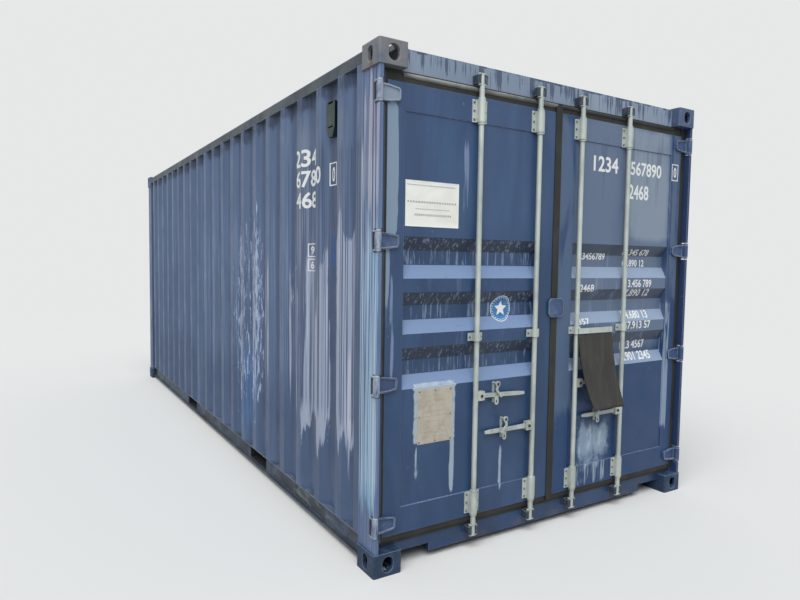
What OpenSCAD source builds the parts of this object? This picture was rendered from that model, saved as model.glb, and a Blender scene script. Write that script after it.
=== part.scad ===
/* [Overall size] */
// Length over the end faces of the corner fittings
length = 6058; // [5000:1:12192]
// Width over the side faces of the corner fittings
width = 2438; // [2300:1:2600]
// Height from the bottom faces to the top faces of the corner fittings
height = 2591; // [2400:1:2896]

/* [Corner fittings] */
// Length of a corner fitting along the container
fitting_l = 178; // [170:1:190]
// Width of a corner fitting across the container
fitting_w = 162; // [155:1:170]
// Height of a corner fitting
fitting_h = 118; // [112:1:125]
// Wall thickness of the side and end faces of a fitting
fitting_wall = 20; // [16:1:24]
// Thickness of the top and bottom plates of a fitting
fitting_plate = 28; // [24:1:30]
// Rounding of the upright edges of a fitting
fitting_r = 12; // [6:1:16]
// Length of the twist lock hole
lock_hole_l = 124.5; // [118:0.5:126]
// Width of the twist lock hole
lock_hole_w = 63.5; // [58:0.5:66]
// Height of the lashing holes in the side and end faces
lash_hole_h = 79.5; // [74:0.5:82]
// Width of the lashing hole in the end face
lash_end_w = 63.5; // [58:0.5:66]
// Width of the lashing hole in the side face
lash_side_w = 51.5; // [46:0.5:56]

/* [Frame] */
// How far posts, rails and walls lie inside the side faces of the fittings
side_inset = 9; // [7:0.5:12]
// Depth of the front face of the door posts behind the end faces
post_front = 50; // [48:1:58]
// Width of the door posts across the container
post_w = 48; // [44:1:52]
// Depth of the front edges of the door posts behind the end faces
edge_front = 6; // [4:1:12]
// Width of the front edges of the door posts
edge_w = 20; // [18:1:21]
// Plate thickness of the posts
post_t = 6; // [4:0.5:8]
// Thickness of the post wall that the door seal presses on
post_inner_t = 12; // [8:1:14]
// Depth of the header and the sill behind the end faces
beam_front = 60; // [56:1:70]
// Front to back size of the header and the sill
beam_depth = 112; // [90:1:118]
// Plate thickness of the header and the sill
beam_t = 4.5; // [3:0.5:6]
// Distance from the top faces of the fittings down to the lower face of the header
header_low_drop = 136; // [126:1:151]
// Distance from the top faces of the fittings down to the upper face of the header
header_top_drop = 8; // [7:1:31]
// Height of the lower face of the sill
sill_low = 36; // [24:1:50]
// Height of the upper face of the sill
sill_top = 150; // [145:1:161]
// Height of the notch beside each lower fitting
notch_top = 80; // [76:1:117]
// Width of the notch beside each lower fitting
notch_w = 204; // [120:1:220]
// Side length of the square roof rails
rail_size = 60; // [50:1:70]
// Wall thickness of the square roof rails
rail_t = 3; // [2:0.5:4]
// Distance from the top faces of the fittings down to the top of the roof rails
rail_drop = 20; // [16:1:31]
// Height of the top of the lower side rails
low_rail_top = 162; // [162:1:170]
// Height of the bottom of the lower side rails
low_rail_low = 30; // [24:1:40]
// Width of the upper flange of the lower side rails
low_rail_flange = 48; // [40:1:56]
// Width of the lower flange of the lower side rails
low_rail_lip = 32; // [24:1:40]
// Plate thickness of the lower side rails
low_rail_t = 4.5; // [3:0.5:6]

/* [Floor] */
// Height of the top of the cross members
joist_top = 142; // [136:1:146]
// Height of a cross member
joist_h = 122; // [100:1:126]
// Flange width of a cross member
joist_w = 45; // [40:1:50]
// Plate thickness of a cross member
joist_t = 4; // [3:0.5:6]
// Spacing of the cross members
joist_pitch = 303; // [280:1:340]
// Thickness of the plywood floor
floor_t = 28; // [24:1:30]
// Gap between two plywood sheets
floor_gap = 2; // [1:0.5:4]
// Length of one plywood sheet
sheet_l = 1400; // [1000:1:2000]
// Width of the flat bar along the middle of the floor
centre_bar_w = 50; // [40:1:60]
// Distance between the middles of the forklift pockets
pocket_spacing = 2050; // [1900:1:2100]
// Width of a forklift pocket
pocket_w = 360; // [300:1:380]
// Height of a forklift pocket
pocket_h = 104; // [98:1:110]
// How far the middle of the pocket pair lies toward the door end
pocket_shift = 150; // [0:1:200]

/* [Walls] */
// Sheet thickness of walls and roof
sheet_t = 2; // [1.6:0.1:3]
// Depth of the side wall corrugation
wave_depth = 36; // [30:1:40]
// Spacing of the side wall ridges
wave_pitch = 278; // [276:1:280]
// Width of the outer face of a ridge
wave_outer = 72; // [68:1:76]
// Width of a sloping face
wave_slope = 68; // [64:1:70]
// Distance from the door end to the middle of the first ridge
first_ridge = 418; // [410:1:424]
// Depth of the blind end wall corrugation
end_wave_depth = 45; // [36:1:48]
// Spacing of the blind end wall ridges
end_wave_pitch = 250; // [245:1:255]
// Width of the outer face of a blind end ridge
end_wave_outer = 110; // [100:1:116]
// Width of a sloping face of the blind end wall
end_wave_slope = 18; // [14:1:24]
// Height of the roof corrugation
roof_wave = 12; // [8:1:13]
// Spacing of the roof ridges
roof_pitch = 209; // [205:1:213]
// Width of the flat top of a roof ridge
roof_crest = 91; // [85:1:97]
// Width of a sloping face of the roof
roof_slope = 14; // [10:1:18]
// Size along the container of a roof corner plate
corner_plate_l = 250; // [200:1:300]
// Size across the container of a roof corner plate
corner_plate_w = 300; // [250:1:350]

/* [Doors] */
// Depth of the outer face of the door leaves behind the end faces
leaf_front = 42; // [40:1:44]
// Thickness of the door frame tubes
leaf_t = 50; // [40:1:56]
// Gap between the outer edge of a leaf and the door post
leaf_side_gap = 16; // [12:1:20]
// Distance from the middle of the container to the inner edge of a leaf
leaf_in = 15; // [12:1:18]
// Gap between the lower edge of a leaf and the sill
leaf_low_gap = 29; // [20:1:34]
// Gap between the upper edge of a leaf and the header
leaf_top_gap = 40; // [30:1:45]
// Width of the frame tube beside the hinges
hinge_stile_w = 101; // [95:1:110]
// Width of the frame tube beside the middle
lock_stile_w = 120; // [110:1:126]
// Height of the upper frame tube
top_rail_h = 132; // [120:1:140]
// Height of the lower frame tube
bottom_rail_h = 136; // [125:1:150]
// Wall thickness of the frame tubes
leaf_tube_t = 3.2; // [2.5:0.1:5]
// Depth of the panel face behind the frame face
panel_inset = 5; // [3:1:8]
// Height of the upper edge of the first panel wave
panel_wave_top = 1676; // [1660:1:1690]
// Spacing of the panel waves
panel_wave_pitch = 278; // [260:1:290]
// Width of the inner face of a panel wave
panel_wave_inner = 72; // [60:1:80]
// Height of a sloping face of a panel wave
panel_wave_slope = 68; // [60:1:72]
// Depth of a panel wave
panel_wave_depth = 36; // [30:1:38]
// Number of panel waves
panel_wave_count = 3; // [3:1:5]
// Free space between a seal and the face it presses on
seal_gap = 0.4; // [0.3:0.1:1]
// How far the side seal lies over the front face of the post
seal_lap = 22; // [10:1:22]
// How far the seal lies over the front faces of the header and the sill
seal_beam_lap = 17; // [10:1:17]
// Thickness of the seal lips
seal_lip = 6; // [5:0.5:6.5]

/* [Hinges] */
// Distance of the hinge pins from the side faces of the fittings
pin_in = 16; // [15.5:0.5:17]
// Depth of the hinge pins behind the end faces
pin_deep = 16; // [15.5:0.5:17]
// Radius of the hinge pins
pin_r = 8; // [6:0.5:9]
// Outer radius of the hinge eyes
eye_r = 15; // [13:0.5:15]
// Clearance between a hinge eye and its pin
pin_clear = 0.5; // [0.3:0.1:0.8]
// Height of a hinge blade
blade_h = 80; // [70:1:95]
// Length of a hinge blade from the pin
blade_l = 124; // [120:1:190]
// Thickness of a hinge blade
blade_t = 14; // [10:1:15]
// Thickness of a hinge lug
lug_t = 9; // [6:1:14]
// Free space between a hinge eye and a lug
lug_gap = 1.5; // [1:0.5:3]
// Distance from the lower edge of a leaf to the middle of the lowest hinge
hinge_low_in = 69; // [65:1:80]
// Distance from the upper edge of a leaf to the middle of the highest hinge
hinge_top_in = 64; // [60:1:80]
// Number of hinges on a leaf
hinge_count = 4; // [3:1:5]

/* [Lock rods] */
// Distance of the outer lock rods from the outer edge of a leaf
rod_outer_in = 556; // [546:1:566]
// Distance of the inner lock rods from the middle of the container
rod_inner = 170; // [165:1:176]
// Depth of the lock rod axis behind the end faces
rod_deep = 22; // [21:0.5:23]
// Outer radius of a lock rod
rod_r = 14; // [12:0.5:14]
// Wall thickness of a lock rod
rod_t = 3; // [2.5:0.5:4]
// Clearance between a lock rod and its guides
rod_clear = 0.8; // [0.5:0.1:1]
// Wall thickness of a rod guide
guide_t = 7; // [5:0.5:7]
// Thickness of the base plate of a rod guide
guide_base_t = 5; // [4:0.5:5]
// Width of the base plate of a rod guide
guide_w = 96; // [80:1:104]
// Height of the upper and lower rod guides
guide_h = 117; // [100:1:125]
// Height of the middle rod guides
mid_guide_h = 42; // [30:1:60]
// Distance from the upper edge of a leaf to the middle of the upper guides
guide_top_in = 76; // [70:1:90]
// Height of the middle of the middle guides above the lowest panel wave
guide_mid_up = 37; // [35:1:39]
// Distance from the lower edge of a leaf to the middle of the lower guides
guide_low_in = 78; // [74:1:90]
// Distance of the cams past the edges of the header and the sill
cam_past = 45; // [45:1:47]
// Half of the height of a keeper lug
lug_half = 22; // [20:1:22]
// Reach of the cam hook from the rod axis
cam_r = 24; // [23.5:0.5:24.5]
// Half of the width of the opening between the keeper lugs
throat = 15; // [15:0.5:15.5]
// Thickness of the upper and lower cam plates
cam_plate_t = 5; // [4:0.5:6]
// Free height between a cam plate and a keeper lug
cam_clear = 3; // [2:0.5:4]

/* [Handles] */
// Height of the upper pair of handles
handle_high = 837; // [835:1:850]
// Height of the lower pair of handles
handle_low = 630; // [625:1:645]
// Droop of the upper handle of the left leaf in degrees
handle_droop = 2.5; // [0:0.5:3]
// Distance from the end of a handle to the axis of the next rod
handle_end_gap = 70; // [45:1:90]
// Height of a handle bar
handle_h = 26; // [22:1:28]
// Thickness of a handle bar
handle_t = 10; // [8:0.5:10]
// Distance of the handle pivot from the rod axis
pivot_out = 34; // [33:1:40]
// Radius of the handle pivot pins
pivot_r = 6; // [5:0.5:7]
// Distance of the upper handle catches from their rod axis
catch_high_out = 140; // [135:1:170]
// Distance of the lower handle catches from their rod axis
catch_low_out = 218; // [190:1:230]
// Height of the latch pivot above the handle
latch_up = 62; // [60:1:66]
// Thickness of a swinging latch
latch_t = 5; // [4:0.5:5]

/* [Plates and flap] */
// Distance of the blank sign plate from the hinge side frame tube
sign_in = 8; // [5:1:60]
// Height of the lower edge of the blank sign plate
sign_low = 1727; // [1690:1:1850]
// Width of the blank sign plate
sign_w = 327; // [250:1:350]
// Height of the blank sign plate
sign_h = 227; // [180:1:260]
// Distance of the data plate from the hinge side frame tube
data_in = 101; // [60:1:150]
// Height of the lower edge of the data plate
data_low = 617; // [560:1:625]
// Width of the data plate
data_w = 216; // [180:1:240]
// Height of the data plate
data_h = 283; // [240:1:300]
// Thickness of both plates
plate_t = 1.5; // [1:0.5:3]
// Width of the rubber flap
flap_w = 284; // [250:1:310]
// Hanging length of the rubber flap
flap_l = 475; // [400:1:480]
// Thickness of the rubber flap
flap_t = 6; // [4:0.5:8]
// How far the lower edge of the flap stands out in front of the end faces
flap_reach = 100; // [80:1:120]
// Distance from the middle of the container to the near edge of the flap
flap_near = 165; // [160:1:170]

/* [Ventilators] */
// Distance from the roof rail down to the upper end of a ventilator
vent_drop = 99; // [91:1:161]
// Height of a ventilator
vent_h = 190; // [150:1:200]
// Width of the front of a ventilator
vent_w = 104; // [90:1:110]
// Depth of a ventilator
vent_d = 28; // [20:1:32]

/* [Hidden] */

$fn = 48;
tiny = 0.01;
half_w = width / 2;
// The flap stands out past the door end, so the middle of the whole length lies
// half a flap reach nearer the door than the middle of the steel frame.
y_door = (flap_reach - length) / 2;
y_blind = y_door + length;
fitting_top_z = height - fitting_h;
header_low = height - header_low_drop;
header_top = height - header_top_drop;
rail_top = height - rail_drop;
side_face = half_w - side_inset;
opening_half = side_face - post_w;
end_half = side_face - post_w - post_inner_t;
leaf_out = opening_half - leaf_side_gap;
leaf_low = sill_top + leaf_low_gap;
leaf_top = header_low - leaf_top_gap;
leaf_back = leaf_front + leaf_t;
hinge_low = leaf_low + hinge_low_in;
hinge_high = leaf_top - hinge_top_in;
hinge_step = (hinge_high - hinge_low) / (hinge_count - 1);
hinge_z = [for (i = [0:hinge_count - 1]) hinge_low + i * hinge_step];
rod_outer = leaf_out - rod_outer_in;
rod_x = [-rod_outer, -rod_inner, rod_inner, rod_outer];
guide_low = leaf_low + guide_low_in;
guide_high = leaf_top - guide_top_in;
guide_mid = panel_wave_top - (panel_wave_count - 1) * panel_wave_pitch + guide_mid_up;
cam_low = sill_top - cam_past;
cam_high = header_low + cam_past;
handle_reach = rod_outer - rod_inner - handle_end_gap;
rod_side = [1, -1, 1, -1];
rod_handle_z = [handle_high, handle_low, handle_high, handle_low];
rod_catch = [catch_high_out, catch_low_out, catch_high_out, catch_low_out];
rod_droop = [handle_droop, 0, 0, 0];
hub_front = 11;
hub_back = 37;
slot_front = 18;
slot_back = slot_front + handle_t + 1;
panel_face = leaf_front + panel_inset;

steel_blue = "#3f5a86";
faded_blue = "#5d7093";
galvanised = "#b4b7ab";
black_rubber = "#2c2b28";

module block(x, y, z) {
    translate([x[0], y[0], z[0]]) cube([x[1] - x[0], y[1] - y[0], z[1] - z[0]]);
}

module both_sides() {
    children();
    mirror([1, 0, 0]) children();
}

// Work seen from the door end: y is the depth behind the end faces.
module at_door() {
    translate([0, y_door, 0]) children();
}

module at_blind_end() {
    translate([0, y_blind, 0]) mirror([0, 1, 0]) children();
}

// Upright prism of a block with rounded upright edges.
module rounded_block(l, w, h, r) {
    translate([r, 0, 0]) cube([l - 2 * r, w, h]);
    translate([0, r, 0]) cube([l, w - 2 * r, h]);
    for (x = [r, l - r], y = [r, w - r]) translate([x, y, 0]) cylinder(r = r, h = h);
}

// Long hole through a plate, standing along y, centred on the origin along z.
module long_hole(w, h, depth) {
    translate([0, -depth / 2, 0]) rotate([-90, 0, 0]) {
        translate([-w / 2, -(h - w) / 2, 0]) cube([w, h - w, depth]);
        for (s = [-1, 1]) translate([0, s * (h - w) / 2, 0]) cylinder(d = w, h = depth);
    }
}

// One fitting with its outer corner at the origin, growing along +x, +y and +z.
// The twist lock hole goes through its lower plate only.
module corner_fitting() {
    mid = [fitting_w / 2, fitting_l / 2, fitting_h / 2];
    difference() {
        rounded_block(fitting_w, fitting_l, fitting_h, fitting_r);
        translate([fitting_wall, fitting_wall, fitting_plate])
            cube([fitting_w - 2 * fitting_wall, fitting_l - 2 * fitting_wall,
                  fitting_h - 2 * fitting_plate]);
        translate([mid[0], mid[1], -1]) twist_lock_hole(fitting_plate + 2);
        translate([mid[0], 0, mid[2]]) long_hole(lash_end_w, lash_hole_h, 3 * fitting_wall);
        translate([0, mid[1], mid[2]]) rotate([0, 0, 90])
            long_hole(lash_side_w, lash_hole_h, 3 * fitting_wall);
    }
}

module twist_lock_hole(h) {
    straight = lock_hole_l - lock_hole_w;
    translate([-lock_hole_w / 2, -straight / 2, 0]) cube([lock_hole_w, straight, h]);
    for (s = [-1, 1]) translate([0, s * straight / 2, 0]) cylinder(d = lock_hole_w, h = h);
}

module four_fittings() {
    both_sides() {
        at_door() translate([-half_w, 0, 0]) corner_fitting();
        at_blind_end() translate([-half_w, 0, 0]) corner_fitting();
    }
}

module corner_fittings_bottom() {
    color(steel_blue) four_fittings();
}

module corner_fittings_top() {
    color(steel_blue) translate([0, 0, height]) mirror([0, 0, 1]) four_fittings();
}

// Box section post on the left side, from fitting to fitting.
module post(front, side_w, inner_t) {
    x0 = -side_face;
    difference() {
        block([x0, x0 + side_w], [front, fitting_l], [fitting_h, fitting_top_z]);
        block([x0 + post_t, x0 + side_w - inner_t], [front + post_t, fitting_l - post_t],
              [fitting_h - 1, fitting_top_z + 1]);
    }
}

module door_post_left() {
    color(faded_blue) at_door() post(post_front, post_w, post_inner_t);
}

module door_post_right() {
    color(steel_blue) mirror([1, 0, 0]) at_door() post(post_front, post_w, post_inner_t);
}

// Channels that form the outer front edges of the door posts. They stop short
// of each hinge, which lies in the pocket between them.
pocket_gap = 6;
hinge_pocket = blade_h / 2 + lug_gap + lug_t + pocket_gap;
edge_ends = concat([fitting_h], [for (z = hinge_z, s = [-1, 1]) z + s * hinge_pocket], [fitting_top_z]);

module door_post_edges() {
    x = [-side_face, -side_face + edge_w];
    color(faded_blue) both_sides() at_door() for (i = [0:hinge_count]) {
        z = [edge_ends[2 * i], edge_ends[2 * i + 1]];
        difference() {
            block(x, [edge_front, post_front], z);
            block([x[0] + post_t, x[1] - post_t], [edge_front + post_t, post_front + 1],
                  [z[0] + post_t, z[1] - post_t]);
        }
    }
}

module blind_end_posts() {
    color(faded_blue) both_sides() at_blind_end()
        post(side_inset, post_w + post_inner_t, post_t);
}

// Box beam that runs from post to post and, above or below the fitting
// level, only from fitting to fitting.
module door_header() {
    x_fit = half_w - fitting_w;
    back = beam_front + beam_depth;
    color(steel_blue) at_door() difference() {
        union() {
            block([-x_fit, x_fit], [beam_front, back], [fitting_top_z, header_top]);
            block([-opening_half, opening_half], [beam_front, back], [header_low, fitting_top_z]);
        }
        block([-x_fit + beam_t, x_fit - beam_t], [beam_front + beam_t, back - beam_t],
              [header_low + beam_t, header_top - beam_t]);
    }
}

module door_sill() {
    x_fit = half_w - fitting_w;
    x_low = x_fit - notch_w;
    back = beam_front + beam_depth;
    color(steel_blue) at_door() {
        difference() {
            union() {
                block([-opening_half, opening_half], [beam_front, back], [fitting_h, sill_top]);
                block([-x_fit, x_fit], [beam_front, back], [notch_top, fitting_h]);
                block([-x_low, x_low], [beam_front, back], [sill_low, notch_top]);
            }
            block([-x_fit + beam_t, x_fit - beam_t], [beam_front + beam_t, back - beam_t],
                  [notch_top + beam_t, sill_top - beam_t]);
            block([-x_low + beam_t, x_low - beam_t], [beam_front + beam_t, back - beam_t],
                  [sill_low + beam_t, sill_top - beam_t]);
        }
    }
}

module tube_x(x, y, z, t) {
    difference() {
        block(x, y, z);
        block([x[0] - 1, x[1] + 1], [y[0] + t, y[1] - t], [z[0] + t, z[1] - t]);
    }
}

module blind_end_beams() {
    x_fit = half_w - fitting_w;
    color(faded_blue) at_blind_end() {
        tube_x([-x_fit, x_fit], [side_inset, side_inset + rail_size],
               [rail_top - rail_size, rail_top], rail_t);
        difference() {
            union() {
                block([-end_half, end_half], [side_inset, side_inset + rail_size],
                      [fitting_h, low_rail_top]);
                block([-x_fit, x_fit], [side_inset, side_inset + rail_size],
                      [sill_low, fitting_h]);
            }
            block([-x_fit + beam_t, x_fit - beam_t],
                  [side_inset + beam_t, side_inset + rail_size + 1],
                  [sill_low + beam_t, low_rail_top - beam_t]);
        }
    }
}

module roof_rails() {
    color("#6d7787") both_sides() at_door() difference() {
        block([-side_face, -side_face + rail_size], [fitting_l, length - fitting_l],
              [rail_top - rail_size, rail_top]);
        block([-side_face + rail_t, -side_face + rail_size - rail_t],
              [fitting_l - 1, length - fitting_l + 1],
              [rail_top - rail_size + rail_t, rail_top - rail_t]);
    }
}

pocket_mid = length / 2 - pocket_shift;
pocket_centres = [pocket_mid - pocket_spacing / 2, pocket_mid + pocket_spacing / 2];
pocket_top = joist_top - joist_t;
pocket_low = pocket_top - pocket_h;

module pocket_space(c, x) {
    block(x, [c - pocket_w / 2, c + pocket_w / 2], [pocket_low, pocket_top]);
}

// Channel rail that opens outward, cut away at the forklift pockets.
module lower_side_rails() {
    x0 = -side_face;
    x_web = x0 + low_rail_flange;
    y = [fitting_l, length - fitting_l];
    color(faded_blue) both_sides() at_door() difference() {
        union() {
            block([x0, x_web], y, [low_rail_top - low_rail_t, low_rail_top]);
            block([x_web - low_rail_t, x_web], y, [low_rail_low, low_rail_top]);
            block([x_web - low_rail_lip, x_web], y, [low_rail_low, low_rail_low + low_rail_t]);
        }
        for (c = pocket_centres) pocket_space(c, [x0 - 1, x_web + 1]);
    }
}

rail_inner = side_face - low_rail_flange;
joist_margin = 40;
joist_first = fitting_l + joist_margin;
joist_last = length - fitting_l - joist_margin - joist_w;
joist_count = floor((joist_last - joist_first) / joist_pitch) + 1;
joist_y = [for (i = [0:joist_count - 1])
           joist_first + i * (joist_last - joist_first) / (joist_count - 1)];
pocket_keep = pocket_w / 2 + 2 * joist_w;

function near_pocket(y) =
    min([for (c = pocket_centres) abs(y - c)]) < pocket_keep;

// Channel lying across the container with its web toward the door.
module joist(y) {
    z = [joist_top - joist_h, joist_top];
    x = [-rail_inner, rail_inner];
    block(x, [y, y + joist_t], z);
    block(x, [y, y + joist_w], [z[0], z[0] + joist_t]);
    block(x, [y, y + joist_w], [z[1] - joist_t, z[1]]);
}

module cross_members() {
    color("#39404a") at_door() for (y = joist_y) if (!near_pocket(y)) joist(y);
}

// Each pocket is a tunnel between two channels, roofed by a plate and closed
// below by a strap at each end.
module forklift_pockets() {
    strap = 200;
    color("#39404a") at_door() for (c = pocket_centres) {
        a = c - pocket_w / 2;
        b = c + pocket_w / 2;
        union() {
            block([-rail_inner, rail_inner], [a - joist_t, b + joist_t],
                  [joist_top - joist_t, joist_top]);
            block([-rail_inner, rail_inner], [a - joist_t, a],
                  [joist_top - joist_h, joist_top]);
            block([-rail_inner, rail_inner], [b, b + joist_t],
                  [joist_top - joist_h, joist_top]);
            both_sides() block([-rail_inner, -rail_inner + strap], [a - joist_t, b + joist_t],
                               [joist_top - joist_h, pocket_low]);
        }
    }
}

floor_from = beam_front + beam_depth;
floor_to = length - side_inset - rail_size;
floor_half = end_half - floor_gap;
floor_rows = round((floor_to - floor_from) / sheet_l);
floor_step = (floor_to - floor_from) / floor_rows;

module floor_boards() {
    color("#8a6a48") at_door() both_sides() for (i = [0:floor_rows - 1])
        block([centre_bar_w / 2 + floor_gap, floor_half],
              [floor_from + i * floor_step + floor_gap,
               floor_from + (i + 1) * floor_step - floor_gap],
              [joist_top, joist_top + floor_t]);
}

module floor_centre_bar() {
    color("#39404a") at_door()
        block([-centre_bar_w / 2, centre_bar_w / 2], [floor_from + floor_gap, floor_to - floor_gap],
              [joist_top, joist_top + floor_t]);
}

// Outer outline of the side wall from the door post to the blind end post,
// as pairs of distance along the wall and depth behind its outer face.
ridge_flank = wave_outer / 2 + wave_slope;
ridge_count = floor((length - fitting_l - first_ridge - ridge_flank) / wave_pitch) + 1;
ridge_y = [for (i = [0:ridge_count - 1]) first_ridge + i * wave_pitch];
first_recess = first_ridge - ridge_flank;
last_recess = ridge_y[ridge_count - 1] + ridge_flank;
end_recess = 10;
wall_line = concat(
    [[fitting_l, 0], [first_recess - end_recess - wave_slope, 0],
     [first_recess - end_recess, wave_depth], [first_recess, wave_depth]],
    [for (i = [0:ridge_count - 1], k = [0:3])
        [ridge_y[i] + [-wave_outer / 2, wave_outer / 2, wave_outer / 2 + wave_slope,
                       wave_pitch - wave_outer / 2 - wave_slope][k],
         k < 2 ? 0 : wave_depth]]
);
wall_points = concat(
    [for (p = wall_line) if (p[0] <= last_recess) p],
    [[length - fitting_l, wave_depth]]
);

// Sheet with one face on the given line and its thickness toward +x.
module sheet_profile(points, t) {
    n = len(points);
    polygon(concat([for (p = points) [p[1], p[0]]],
                   [for (i = [n - 1:-1:0]) [points[i][1] + t, points[i][0]]]));
}

module side_wall() {
    translate([-side_face, 0, low_rail_top])
        linear_extrude(rail_top - rail_size - low_rail_top) sheet_profile(wall_points, sheet_t);
}

module side_wall_left() {
    color(faded_blue) at_door() side_wall();
}

module side_wall_right() {
    color(faded_blue) mirror([1, 0, 0]) at_door() side_wall();
}

end_ridges = floor((2 * end_half - end_wave_outer) / end_wave_pitch / 2);
end_line = concat(
    [[-end_half, end_wave_depth]],
    [for (i = [-end_ridges:end_ridges], k = [0:3])
        [i * end_wave_pitch + [-end_wave_outer / 2 - end_wave_slope, -end_wave_outer / 2,
                               end_wave_outer / 2, end_wave_outer / 2 + end_wave_slope][k],
         k == 0 || k == 3 ? end_wave_depth : 0]],
    [[end_half, end_wave_depth]]
);

module blind_end_wall() {
    color(faded_blue) at_blind_end() difference() {
        translate([0, side_inset, low_rail_top])
            linear_extrude(rail_top - rail_size - low_rail_top)
            rotate([0, 0, -90]) mirror([1, 0, 0]) sheet_profile(end_line, sheet_t);
        both_sides() block([-half_w, -half_w + fitting_w], [0, fitting_l],
                           [fitting_top_z, height]);
    }
}

roof_from = fitting_l;
roof_to = length - fitting_l;
roof_mid = length / 2;
roof_side = roof_crest / 2 + roof_slope;
roof_count = floor((roof_to - roof_from - 2 * corner_plate_l - roof_crest) / roof_pitch / 2);
roof_ridges = [for (i = [-roof_count:roof_count]) roof_mid + i * roof_pitch];
roof_half = side_face - rail_size;
roof_line = concat(
    [[beam_front + beam_depth, 0]],
    [for (y = roof_ridges, k = [0:3])
        [y + [-roof_side, -roof_crest / 2, roof_crest / 2, roof_side][k],
         k == 0 || k == 3 ? 0 : roof_wave]],
    [[length - side_inset - rail_size / 2, 0]]
);

// Corrugated sheet on the roof rails, with each ridge closed at its ends.
module roof_panel() {
    n = len(roof_line);
    color(faded_blue) at_door() {
        difference() {
            union() {
                translate([roof_half, 0, rail_top]) rotate([90, 0, -90])
                    linear_extrude(2 * roof_half)
                    polygon(concat([for (p = roof_line) [-p[0], p[1]]],
                                   [for (i = [n - 1:-1:0])
                                    [-roof_line[i][0], roof_line[i][1] + sheet_t]]));
                both_sides() block([roof_half - tiny, side_face - rail_t],
                                   [roof_from, roof_to], [rail_top, rail_top + sheet_t]);
                both_sides() for (y = roof_ridges)
                    translate([roof_half + tiny, y, rail_top]) rotate([90, 0, -90])
                        linear_extrude(sheet_t)
                        polygon([[-roof_side, 0], [-roof_crest / 2, roof_wave],
                                 [-roof_crest / 2, roof_wave + sheet_t],
                                 [roof_crest / 2, roof_wave + sheet_t],
                                 [roof_crest / 2, roof_wave], [roof_side, 0]]);
            }
            both_sides() for (y = [[beam_front, fitting_l], [length - fitting_l, length]])
                block([-half_w, -half_w + fitting_w], y, [rail_top - 1, height]);
        }
    }
}

module roof_corner_plates() {
    color(faded_blue) both_sides() {
        at_door() corner_plate();
        at_blind_end() corner_plate();
    }
}

module corner_plate() {
    x_out = -half_w + fitting_w;
    block([x_out + 1, x_out + corner_plate_w], [fitting_l + 1, fitting_l + corner_plate_l],
          [rail_top + sheet_t, rail_top + 2 * sheet_t]);
}

// Keeper: a base plate with two claws that turn in toward the rod. The cam
// turns between the claws and its hook lies behind one of them.
claw_thick = 7;
claw_front = 9;
claw_back = 2;
arm_in = cam_r + 3;
keeper_half = arm_in + claw_thick;
keeper_base_t = 5;
claw_round = 6;

module keeper() {
    base_back = beam_front - rod_deep;
    z = [0, 2 * lug_half];
    translate([0, rod_deep, -lug_half]) {
        block([-keeper_half, keeper_half], [base_back - keeper_base_t, base_back], z);
        both_sides() {
            block([-keeper_half, -arm_in], [claw_round - claw_front, base_back], z);
            block([claw_round - keeper_half, -throat], [-claw_front, claw_back], z);
            translate([claw_round - keeper_half, claw_round - claw_front, 0])
                cylinder(r = claw_round, h = z[1]);
        }
    }
}

module cam_keepers() {
    color("#2b3242") at_door() for (x = rod_x, z = [cam_low, cam_high])
        translate([x, 0, z]) keeper();
}

// Lock rod 1 to 4 counted from the left; the handle of rods 1 and 3 points
// to +x and that of rods 2 and 4 to -x.
module toward_handle(i) {
    translate([rod_x[i], rod_deep, 0]) {
        if (rod_side[i] > 0) children();
        else mirror([1, 0, 0]) children();
    }
}

// Cam: a hub between two plates that close over and under the keeper claws,
// with a hook that lies behind the claw away from the handle.
hub_play = 3.5;
hub_r = throat - hub_play;
cam_end_r = 8;
cam_over = 2;
cam_plate_half = 10;
hook_half = 5;
hook_short = 1;
hook_turn = 145;

module cam() {
    half = lug_half + cam_clear + cam_plate_t;
    end_x = cam_r + cam_over - cam_end_r;
    cylinder(r = hub_r, h = 2 * half, center = true);
    for (s = [-1, 1]) translate([0, 0, s * (half - cam_plate_t / 2)]) {
        cube([2 * end_x, 2 * cam_plate_half, cam_plate_t], center = true);
        for (e = [-1, 1]) translate([e * end_x, 0, 0])
            cylinder(r = cam_end_r, h = cam_plate_t, center = true);
    }
    rotate([0, 0, hook_turn])
        block([hub_r / 2, cam_r - hook_short], [-hook_half, hook_half],
              [hook_short - half, half - hook_short]);
}

collar_h = 10;
collar_gap = 1;
collar_over = 5;

// Ring on the rod that keeps it from sliding through a guide.
module collar(z) {
    translate([0, 0, z]) cylinder(r = rod_r + collar_over, h = collar_h, center = true);
}

// Fork on the rod that holds the handle pin.
fork_reach = pivot_out + 21;
fork_h = 50;
fork_root = 2;
pin_play = 0.3;

module handle_fork(z) {
    translate([0, 0, z]) difference() {
        block([0, fork_reach], [hub_front - rod_deep, hub_back - rod_deep],
              [-fork_h / 2, fork_h / 2]);
        block([rod_r + fork_root, fork_reach + 1], [slot_front - rod_deep, slot_back - rod_deep],
              [-fork_h, fork_h]);
        translate([pivot_out, -rod_deep, 0]) rotate([-90, 0, 0])
            cylinder(r = pivot_r + pin_play, h = 2 * rod_deep);
    }
}

neck_r = rod_r - 3;
neck_l = 32;
plug_l = 10;

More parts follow.
